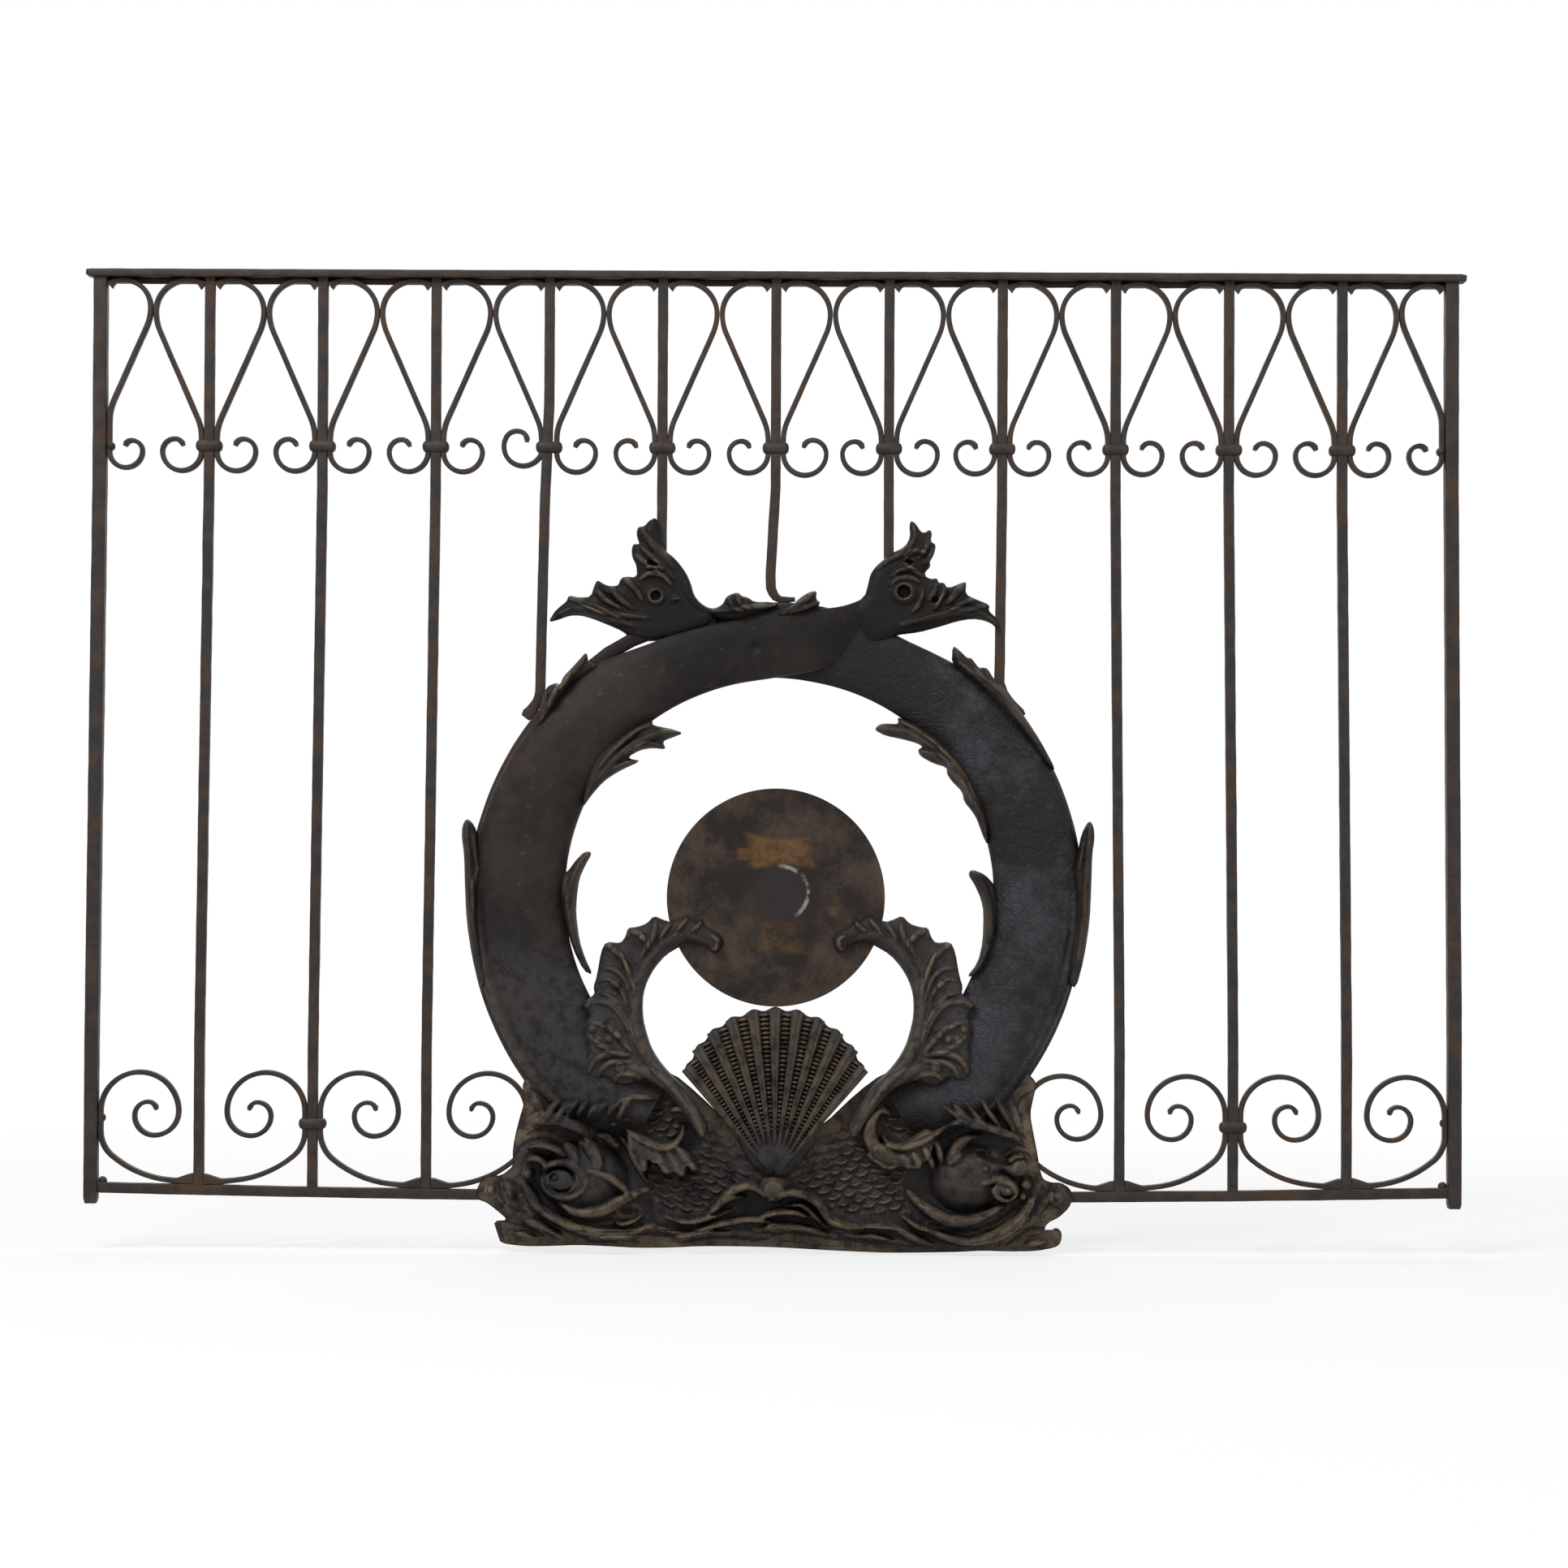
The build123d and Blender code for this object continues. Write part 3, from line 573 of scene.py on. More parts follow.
# uprights: plumb under the cap, leaning between the fan levels, plumb again at their feet
bars = {"head": 1110.5, "fanTop": 860.0, "fanLow": 190.0, "hoop": 369.0, "hidden": 696.0,
        "stileDepth": 20.0,
        # ends of the three that stop on the hoop with a spread toe: across, up, girth
        "toes": {4: ((-272.0, 960.0, 1.0), (-276.5, 850.0, 1.0), (-281.3, 611.0, 1.0),
                     (-284.5, 602.3, 1.0), (-290.5, 593.5, 1.05), (-296.5, 586.5, 1.3),
                     (-299.0, 583.0, 0.9)),
                 6: ((-5.4, 757.0, 1.0), (-5.0, 740.0, 1.0), (-1.0, 730.6, 0.9), (6.0, 726.4, 0.65),
                     (16.0, 725.8, 0.55), (24.0, 726.6, 0.4)),
                 8: ((269.6, 627.0, 1.0), (275.0, 614.5, 0.85), (283.0, 604.0, 0.75),
                     (291.5, 594.5, 0.85), (296.0, 590.0, 1.0), (297.5, 587.5, 0.7))}}


def uprights():
    wide = 2 * panel["barHalf"] / 1000
    for n in range(1, 12):
        top, foot = (n - 6) * panel["pitch"], footX(n)
        path = [(top, bars["head"]), (top, bars["fanTop"])]
        if n in bars["toes"]:
            path = path[:1 if n == 4 else 2] + list(bars["toes"][n])
        elif n in (5, 7):
            share = (bars["fanTop"] - bars["hidden"]) / (bars["fanTop"] - bars["fanLow"])
            path.append((top + (foot - top) * share, bars["hidden"]))
        else:
            path += [(foot, bars["fanLow"]), (foot, railTop(foot) - 0.2)]
        made = forgedStrips(f"bar{n:02d}", [path], Thickness=wide, Corner=0.001, Step=0.006,
                            Hammering=0.0012)
        joined(f"bar{n:02d}", [made], [f"bar_{n:02d}"])
    wide = 2 * panel["stileHalf"] / 1000
    deep = bars["stileDepth"] / 1000
    for side, name, node in ((-1, "stileLeft", "stile_left"), (1, "stileRight", "stile_right")):
        top, foot = side * panel["stile"], side * panel["stileFoot"]
        path = [(top, bars["head"]), (top, bars["fanTop"]), (foot, bars["fanLow"]),
                (foot, 3), (foot, 0, 0.8)]
        made = forgedStrips(name, [path], Thickness=wide, Depth=deep, Corner=0.0016, Step=0.006,
                            Hammering=0.0012)
        joined(name, [made], [node])


uprights()


# scrolls over the lower rail, each with its tail spread at the foot of the next upright
lowScroll = {"big": 46.7, "shares": (1.0, 1.0, 0.62, 0.51, 0.35, 0.21), "rise": 85.0, "sweep": 128.0,
             "firstBend": 50.0, "lastBend": 35.0, "toe": 15.0, "collarDrop": 14.0, "collar": 10.0,
             "ring": 72.0, "gap": 0.3, "strip": 6.0,
             "girths": ((0, 0.55), (2, 1.2), (7, 0.85), (60, 0.95), (200, 1.0))}


def lowScrollPath(tangent, side, footGap):
    centre = rail["end"] + lowScroll["rise"]
    plumb = lowScroll["collarDrop"] + lowScroll["collar"]
    toe = footGap - lowScroll["toe"]
    strip = lowScroll["strip"]
    base = max(railTop(tangent + side * d) for d in (toe - strip, footGap)) + lowScroll["gap"]
    footZ = base + strip / 2
    slope = 90.0 - lowScroll["firstBend"] - lowScroll["lastBend"]
    steep, flat = math.radians(slope + lowScroll["lastBend"]), math.radians(slope)
    turn = math.radians(lowScroll["firstBend"])
    down = lowScroll["sweep"] * (math.cos(flat) - math.cos(steep))
    across = lowScroll["sweep"] * (math.sin(steep) - math.sin(flat))
    restDown = centre - plumb - footZ - down - (toe - across) * math.tan(flat)
    bend = restDown / (math.sin(turn) - (1 - math.cos(turn)) * math.tan(flat))
    run = (toe - across - bend * (1 - math.cos(turn))) / math.cos(flat)
    moves = [(run, 0), (lowScroll["sweep"], -lowScroll["lastBend"]),
             (bend, -lowScroll["firstBend"]), (plumb, 0)]
    moves += [(lowScroll["big"] * share, -90) for share in lowScroll["shares"]]
    path = lengthened(bentPath((toe, footZ), 180 - slope, moves), lowScroll["girths"])
    # the spread end: it thickens towards the upright, its sole flat on the rail
    spread = [(footGap, base + 1.05 * strip, 2.1), (footGap - 4, base + strip, 2.0),
              (footGap - 13, base + 0.75 * strip, 1.5), (toe - 6, base + 0.55 * strip, 1.1)]
    path = spread + [p for p in path if p[0] < toe - 12 or p[1] > footZ + 20]
    return [(tangent + side * x, z, girth) for x, z, girth in path]


def lowScrolls():
    lean = lowScroll["gap"] / 2 + lowScroll["strip"] / 2
    beside = panel["barHalf"] + lean
    for hand, names in ((-1, ("scrolls_1", "scrolls_2")), (1, ("scrolls_4", "scrolls_3"))):
        stileSide = hand * (panel["stileFoot"] - panel["stileHalf"] - lean)
        first, second, third = (hand * abs(footX(n)) for n in (1, 2, 3))
        ringSide = panel["medallion"] + hand * (bars["hoop"] - lowScroll["ring"])
        spots = [(stileSide, first, -hand), (second + hand * beside, first, hand),
                 (second - hand * beside, third, -hand), (ringSide, third, hand)]
        paths = []
        for tangent, foot, side in spots:
            footGap = abs(foot - tangent) - panel["barHalf"] - lowScroll["gap"]
            paths.append(lowScrollPath(tangent, side, footGap))
        for node, pair in zip(names, (paths[:2], paths[2:])):
            piece = "scrolls" + node[-1]
            joined(piece, [forgedStrips(piece, pair, Hammering=0.0006)], [node])


lowScrolls()


# collars: half-round bands closed hot around an upright and the scrolls beside it, in metres
band = {"Width": 0.0246, "Across": 0.0123, "Wall": 0.0036, "Height": 0.013, "Hammering": 0.0008}
lowBand = dict(band, Width=0.025, Height=0.0128, Wall=0.004)


def bandShape(given):
    points = given["Path"]
    loop = points.node("GeometryNodeCurvePrimitiveQuadrilateral", None,
                       {"Width": given["Width"], "Height": given["Across"]})
    loop = loop.node("GeometryNodeFilletCurve", {"mode": "POLY"},
                     {"Curve": loop, "Count": 4, "Radius": 0.0022})
    loop = loop.node("GeometryNodeSetCurveNormal", {"mode": "Z_UP"}, {"Curve": loop})
    section = loop.node("GeometryNodeCurvePrimitiveCircle", {"mode": "RADIUS"},
                        {"Resolution": 14, "Radius": 1.0})
    size = loop.vector(given["Wall"], given["Height"] * 0.5, 1.0)
    section = loop.node("GeometryNodeTransform", None, {"Geometry": section, "Scale": size})
    collar = loop.node("GeometryNodeCurveToMesh", None, {"Curve": loop, "Profile Curve": section})
    every = loop.node("GeometryNodeInstanceOnPoints", None, {"Points": points, "Instance": collar})
    every = every.node("GeometryNodeRealizeInstances", None, {0: every})
    return hammered(given, every)


bandTree = treeWith("collarBand", band, bandShape)


def spotsOf(name, places):
    made = bpy.data.meshes.new(name)
    made.from_pydata([((x + panel["midX"]) / 1000, y / 1000, z / 1000) for x, y, z in places], [], [])
    return made


def studShape(given):
    # a flattened ball at every place
    ball = given["Path"].node("GeometryNodeMeshUVSphere", None,
                              {"Segments": 14, "Rings": 9, "Radius": 1.0})
    size = ball.vector(given["Across"], given["Depth"], given["Across"])
    every = ball.node("GeometryNodeInstanceOnPoints", None,
                      {"Points": given["Path"], "Instance": ball, "Scale": size})
    every = every.node("GeometryNodeRealizeInstances", None, {0: every})
    return hammered(given, every)


stud = {"Across": 0.004, "Depth": 0.003, "Hammering": 0.0006}
clip = {"Across": 0.0058, "Depth": 0.0085, "Hammering": 0.001}
pin = {"Across": 0.0055, "Depth": 0.0055, "Hammering": 0.0016}
rivet = {"Across": 0.0026, "Depth": 0.0016}
# how far they sit inwards from a stile's middle, and the rivets above the rail and in front
fixing = {"clipIn": 12.5, "pinIn": 12.0, "weldIn": 14.0, "weldUp": 1.5, "rivetUp": 8.0, "rivetY": -5.6}
studTree = treeWith("studs", stud, studShape)


def collars():
    level = heart["collar"]
    places = [((n - 6) * panel["pitch"], 0, level) for n in range(1, 12)]
    high = [grown("upperBands", spotsOf("upperBands", places), bandTree, band)]
    places = [(side * (panel["stile"] - fixing["clipIn"]), 0, level - 1) for side in (-1, 1)]
    high.append(grown("upperClips", spotsOf("upperClips", places), studTree, clip))
    joined("upperCollars", high, ["upper_collars"])
    level = rail["end"] + lowScroll["rise"] - lowScroll["collarDrop"]
    places = [(footX(n), 0, level) for n in (2, 10)]
    low = [grown("lowerBands", spotsOf("lowerBands", places), bandTree, lowBand)]
    joined("lowerCollars", low, ["lower_collars"])
    places = [(side * (panel["stileFoot"] - fixing["pinIn"]), 0, level + 6) for side in (-1, 1)]
    weldLevel = railTop(panel["stile"]) + fixing["weldUp"]
    places += [(side * (panel["stileFoot"] - fixing["weldIn"]), -1, weldLevel) for side in (-1, 1)]
    pins = grown("pins", spotsOf("pins", places), studTree, pin)
    places = [(footX(n), fixing["rivetY"], railTop(footX(n)) + fixing["rivetUp"]) for n in (2, 10)]
    rivets = grown("rivets", spotsOf("rivets", places), studTree, rivet)
    joined("pinsAndRivets", [pins, rivets], [])


collars()


def edgeAt(angles, table):
    # a smooth line through a table of angles and distances
    places, values = np.array(table, float).T
    fine = np.linspace(places[0], places[-1], 400)
    line = np.interp(fine, places, values)
    for _ in range(60):
        line[1:-1] = (line[:-2] + 2 * line[1:-1] + line[2:]) / 4
    return np.interp(angles, fine, line)


# the hoop: flat iron bent almost full circle, standing on the lower rail
hoop = {"thick": 8.0, "radius": 369.0, "level": 363.0,
        # how far it has sunk inwards over the years, by the angle from the top
        "sunk": ((-180, 0), (-85, 0), (-60, 2), (-35, 5), (-10, 9), (12, 9.5), (19, 15), (25, 21),
                 (30, 18.5), (36, 12), (46, 4), (58, 0), (180, 0))}


def hoopPiece():
    middle = hoop["radius"] - hoop["thick"] / 2
    foot = railTop(hoop["radius"] / 2) + 0.3
    opening = math.acos((hoop["level"] - foot) / middle)
    path = []
    for i in range(181):
        a = -math.pi + opening + (2 * math.pi - 2 * opening) * i / 180
        far = middle - edgeAt(math.degrees(a), hoop["sunk"])
        path.append((panel["medallion"] + far * math.sin(a), hoop["level"] + far * math.cos(a)))
    made = forgedStrips("hoopIron", [path], Thickness=hoop["thick"] / 1000, Corner=0.0014,
                        Step=0.008, Hammering=0.0009)
    joined("hoopIron", [made], ["hoop"])


hoopPiece()
print("ironwork ready")


# the castings are set out on a drawing: across and down, in units a little under a millimetre
setOut = {"unit": 0.9733, "axis": 956.5, "feet": 1485.0, "tilt": 0.0043, "tiltX": 955.0, "tiltY": 905.0,
          "mirror": 958.5,                       # the line that the paired castings mirror in
          "drawnIn": -46.0, "drawnBy": 0.6}      # the foot of the sea is drawn in a little below this


def onPanel(across, down, height):
    # a place on the drawing, as a place on the panel in metres; height stands out to the front
    x = across + setOut["tilt"] * (down - setOut["tiltY"]) - setOut["axis"]
    z = setOut["feet"] - (down - setOut["tilt"] * (across - setOut["tiltX"]))
    below = setOut["drawnIn"]
    z = np.where(z < below, below + setOut["drawnBy"] * (z - below), z)
    return np.stack([(x * setOut["unit"] + panel["medallion"] + panel["midX"]) / 1000,
                     (panel["seatY"] - height) / 1000, z * setOut["unit"] / 1000], -1)


def mirrored(points):
    return [(2 * setOut["mirror"] - x, y) for x, y in points]


def rounded(points, times=1):
    # every corner cut, so a drawn outline turns softly
    line = np.array(points, float)
    for _ in range(times):
        after = np.roll(line, -1, 0)
        line = np.stack([0.78 * line + 0.22 * after, 0.22 * line + 0.78 * after], 1).reshape(-1, 2)
    return line


def insideBy(x, y, line):
    # distance to a closed outline, positive inside
    best = np.full(x.shape, 1e9)
    inner = np.zeros(x.shape, bool)
    for (ax, ay), (bx, by) in zip(line, np.roll(line, -1, 0)):
        dx, dy = bx - ax, by - ay
        t = np.clip(((x - ax) * dx + (y - ay) * dy) / (dx * dx + dy * dy + 1e-9), 0, 1)
        best = np.minimum(best, (x - ax - t * dx) ** 2 + (y - ay - t * dy) ** 2)
        crosses = (ay > y) != (by > y)
        inner ^= crosses & (x < ax + (y - ay) * dx / (dy + 1e-9))
    return np.where(inner, 1, -1) * np.sqrt(best)


def softened(values, times):
    # each height drawn towards the four beside it
    for _ in range(times):
        padded = np.pad(values, 1, mode="edge")
        beside = padded[:-2, 1:-1] + padded[2:, 1:-1] + padded[1:-1, :-2] + padded[1:-1, 2:]
        values = (beside + 4 * values) / 8
    return values


class Relief:
    # heights of a carved front over a stretch of the drawing
    rubbing = 0.9      # how soon a crest shows its ochre

    def __init__(self, outline, step=1.6, turns=1):
        self.line = rounded(outline, turns)
        low, high = self.line.min(0) - 3 * step, self.line.max(0) + 3 * step
        self.step = step
        across = np.arange(low[0], high[0], step)
        down = np.arange(low[1], high[1], step)
        self.x, self.y = np.meshgrid(across, down, indexing="ij")
        self.inside = insideBy(self.x, self.y, self.line)
        self.h = np.zeros(self.x.shape)

    def near(self, points, reach):
        # the part of the grid that a stroke can touch
        spots = np.array([p[:2] for p in points], float)
        low = ((spots.min(0) - reach - [self.x[0, 0], self.y[0, 0]]) / self.step).astype(int)
        high = ((spots.max(0) + reach - [self.x[0, 0], self.y[0, 0]]) / self.step).astype(int) + 2
        return (slice(max(low[0], 0), max(high[0], 0)), slice(max(low[1], 0), max(high[1], 0)))

    def domed(self, rim, high, edge):
        # the whole front swells from its rim over a distance from the outline
        t = np.clip(self.inside / edge, 0, 1)
        self.h = np.where(self.inside > -2 * self.step, rim + high * np.sqrt(1 - (1 - t) ** 2), 0)
        return self

    def ball(self, x, y, rx, ry, high, turn=0.0, soft=False):
        # a dome, or a bowl where high is below 0; a soft one runs out without an edge
        spot = self.near([(x, y)], max(rx, ry))
        dx, dy = self.x[spot] - x, self.y[spot] - y
        a = math.radians(turn)
        u, v = (dx * math.cos(a) + dy * math.sin(a)) / rx, (dy * math.cos(a) - dx * math.sin(a)) / ry
        left = np.clip(1 - u * u - v * v, 0, 1)
        self.h[spot] += high * (left ** 1.5 if soft else np.sqrt(left))
        return self

    def ridge(self, points, width, high, taper=0.5, curve=True):
        # a rounded bead along a line, thinner towards both ends; a groove where high is below 0
        line = np.array([p[:2] for p in points], float)
        if curve and len(line) > 2:
            line = self.spline(line)
        spot = self.near(line, width)
        x, y = self.x[spot], self.y[spot]
        if x.size == 0:
            return self
        lengths = np.hypot(*np.diff(line, axis=0).T)
        total, run = lengths.sum() + 1e-9, 0.0
        best = np.full(x.shape, 1e9)
        along = np.zeros(x.shape)
        for (ax, ay), (bx, by), length in zip(line[:-1], line[1:], lengths):
            dx, dy = bx - ax, by - ay
            t = np.clip(((x - ax) * dx + (y - ay) * dy) / (length * length + 1e-9), 0, 1)
            far = np.hypot(x - ax - t * dx, y - ay - t * dy)
            closer = far < best
            best = np.where(closer, far, best)
            along = np.where(closer, (run + t * length) / total, along)
            run += length
        swell = np.clip(np.sin(np.pi * np.clip(along * 0.96 + 0.02, 0, 1)), 0, 1) ** taper
        shape = np.clip(1 - (best / (width * (0.35 + 0.65 * swell))) ** 2, 0, 1)
        self.h[spot] += high * swell * (shape ** 0.75 if high > 0 else shape)
        return self

    @staticmethod
    def spline(line):
        # a smooth line through the drawn places
        ends = np.vstack([2 * line[0] - line[1], line, 2 * line[-1] - line[-2]])
        made = []
        for a, b, c, d in zip(ends[:-3], ends[1:-2], ends[2:-1], ends[3:]):
            for t in np.linspace(0, 1, 5)[:-1]:
                made.append(0.5 * (2 * b + (c - a) * t + (2 * a - 5 * b + 4 * c - d) * t * t
                                   + (3 * b - a - 3 * c + d) * t ** 3))
        return np.vstack(made + [line[-1:]])

    def scales(self, area, pitch, high, turn):
        # rows of scales, each lapping over the row below it
        where = insideBy(self.x, self.y, rounded(area))
        a = math.radians(turn)
        u = self.x * math.cos(a) + self.y * math.sin(a)
        v = self.y * math.cos(a) - self.x * math.sin(a)
        row = np.floor(v / (0.5 * pitch))
        made = np.zeros(self.x.shape)
        for line in (row + 1, row, row - 1):
            du = (u - (line % 2) * pitch / 2) % pitch - pitch / 2
            dv = v - line * 0.5 * pitch
            far = np.hypot(du, dv) / (0.6 * pitch)
            tile = 0.2 + 0.8 * np.clip(dv / (0.6 * pitch), 0, 1) - 0.25 * (du / pitch) ** 2
            made = np.where(far < 1, tile, made)
        self.h += high * made * np.clip(where / 8, 0, 1)
        return self

    def part(self, line):
        # the stretch of this carving inside another outline
        piece = copy.copy(self)
        piece.inside = np.minimum(self.inside, insideBy(self.x, self.y, np.array(line, float)))
        return piece

    def mesh(self, name, lip=2.5, back=0.0, hollow=9.0):
        # the front, its walls down to the seat and a hollow back, as one closed mesh;
        # it is worn where it stands out from what is around it, and where it sinks below that it is
        # marked for painted shade
        ins, h = self.inside, softened(self.h, 1)
        cells = (ins[:-1, :-1] > 0) | (ins[1:, :-1] > 0) | (ins[:-1, 1:] > 0) | (ins[1:, 1:] > 0)
        used = np.zeros(ins.shape, bool)
        for a, b in ((0, 0), (1, 0), (0, 1), (1, 1)):
            used[a:a + cells.shape[0], b:b + cells.shape[1]] |= cells
        gx, gy = np.gradient(ins, self.step)
        size = np.hypot(gx, gy) + 1e-6
        out = np.where(used & (ins < 0), np.minimum(-ins, 1.5 * self.step), 0)
        x, y = self.x + out * gx / size, self.y + out * gy / size
        front = np.maximum(h, lip)
        deep = np.clip(softened(front, 6) - hollow, 0, None) * np.clip((ins - 7) / 5, 0, 1)
        number = np.full(ins.shape, -1)
        number[used] = np.arange(used.sum())
        i, j = np.nonzero(cells)
        quads = np.stack([number[i, j + 1], number[i + 1, j + 1], number[i + 1, j], number[i, j]], 1)
        count = int(used.sum())
        edges = np.concatenate([quads[:, [k, (k + 1) % 4]] for k in range(4)])
        keys = edges[:, 0] * count + edges[:, 1]
        opposite = edges[:, 1] * count + edges[:, 0]
        rim = edges[~np.isin(keys, opposite)]
        walls = np.stack([rim[:, 1], rim[:, 0], rim[:, 0] + count, rim[:, 1] + count], 1)
        points = np.concatenate([onPanel(x[used], y[used], front[used]),
                                 onPanel(x[used], y[used], back + deep[used])])
        made = bpy.data.meshes.new(name)
        faces = np.concatenate([quads, quads[:, ::-1] + count, walls])
        made.from_pydata(points.tolist(), [], faces.tolist())
        covered = (ins > 0).astype(float)
        around = softened(covered * h, 6) / (softened(covered, 6) + 0.02)
        crest = h - around
        # crests get their ochre rub; hollows get negative values that the finish turns into painted
        # shade
        rubbed, hollowShade = np.clip(self.rubbing * crest - 0.5, 0, 1), np.clip(crest * 0.06, -0.4, 0)
        worn = np.where(crest > 0, rubbed, hollowShade)
        keepWornAndShade(made, np.concatenate([worn[used], np.zeros(count)]))
        return made


def keepWornAndShade(made, values):
    # where a casting is rubbed, and where its hollows get painted shade, for its finish, and soft
    # shading with crisp edges
    worn = made.attributes.new("worn", "FLOAT", "POINT")
    worn.data.foreach_set("value", np.asarray(values, np.float32))
    made.update()
    made.shade_smooth()
    made.set_sharp_from_angle(angle=math.radians(62))


def casting(name, meshes, nodes, look="castIron"):
    # closed meshes that together stand for the CAD nodes
    for made in meshes:
        made.materials.append(materials[look])
    return joined(name, meshes, nodes)


def many(relief, strokes, deeper=1.0):
    # each stroke: its points, its width and its height
    for points, width, high in strokes:
        relief.ridge(points, width, deeper * high)
    return relief


def eased(value, low, high):
    t = np.clip((value - low) / (high - low), 0, 1)
    return t * t * (3 - 2 * t)


def closedShell(name, rings):
    # rings of points, one after another, skinned and capped, with the faces turned outwards
    count, size = rings.shape[:2]
    i, j = np.meshgrid(np.arange(count - 1), np.arange(size), indexing="ij")
    k = (j + 1) % size
    quads = np.stack([i * size + j, i * size + k, (i + 1) * size + k, (i + 1) * size + j], -1)
    quads = quads.reshape(-1, 4)
    points = rings.reshape(-1, 3)
    a, b, c, d = (points[quads[:, n]] for n in range(4))
    volume = (a * (np.cross(b, c) + np.cross(c, d))).sum()
    faces = quads.tolist() + [list(range(size))[::-1], [(count - 1) * size + n for n in range(size)]]
    if volume < 0:
        faces = [face[::-1] for face in faces]
    made = bpy.data.meshes.new(name)
    made.from_pydata(points.tolist(), [], faces)
    return made


# the two bodies: flat-backed, gently domed, crossing at the top, each ending in its tail;
# their edges are distances from the ring's middle, by the angle from the top
body = {"level": 369.0, "start": -150.0, "end": 22.0, "along": 300, "across": 44,
        "relief": 30.0, "wall": 5.0, "dome": (2.3, 0.6), "dents": 0.9,
        "thinFrom": -142.0, "thinOver": 163.0, "thinning": 0.3,
        # at the crossing the front one's wall is higher and its back lifted, the other is thinner
        "crossing": (-52, -24), "step": 11.0, "lift": 10.2, "sole": 0.8, "under": 0.8, "tucked": 0.35,
        "finRoot": (92, 112, 0.38), "headTop": (66.0, 128.0), "tailEnd": (10, 2, 20, 0.75),
        "rim": (84, 100), "groove": (13.5, 2.2, 3.2), "bead": (6, 5, 2.0), "crease": (0.28, 0.05, 1.1),
        "hole": (-26.3, 666.6, 5.5, 3.5),      # across, up, radius, depth
        "left": {"outer": ((-150, 366), (-95, 366), (-80, 364), (-70, 361.5), (-60, 358.5), (-50, 356),
                           (-42, 354), (-37, 352), (-33, 345.5), (-29, 340), (-24, 337), (-14, 334.5),
                           (-8, 335.5), (-3, 341), (3, 346), (8, 348), (12.6, 354), (15.5, 367),
                           (19, 390), (24, 420)),
                 "inner": ((-150, 251), (-90, 252), (-70, 254), (-50, 257), (-20, 258.5), (-3, 260.5),
                           (5, 267), (11, 276), (18, 311), (24, 342))},
        "right": {"outer": ((-150, 368), (-80, 366.5), (-62, 363.5), (-52, 361), (-44, 356),
                            (-37, 350.5), (-30, 345), (-24, 342.5), (-14, 347), (0, 349), (12, 348),
                            (24, 346)),
                  "inner": ((-150, 251), (-112, 252), (-86, 261), (-35, 262), (-10, 261.5), (8, 264),
                            (24, 275))}}
slowWaves = ((70, 1.0), (37, 0.6), (19, 0.35))      # length and share


def wander(x, z, seed):
    # slow waves over a surface, the same each time
    value = np.zeros(np.shape(x))
    for k, (length, share) in enumerate(slowWaves):
        turn = 1.3 * k + seed
        value += share * np.sin((x * math.cos(turn) + z * math.sin(turn)) / length * 6.28 + 2.1 * seed)
        value += share * np.sin((z * math.cos(turn) - x * math.sin(turn)) / length * 5.1 + 1.7 * k)
    return value / 4


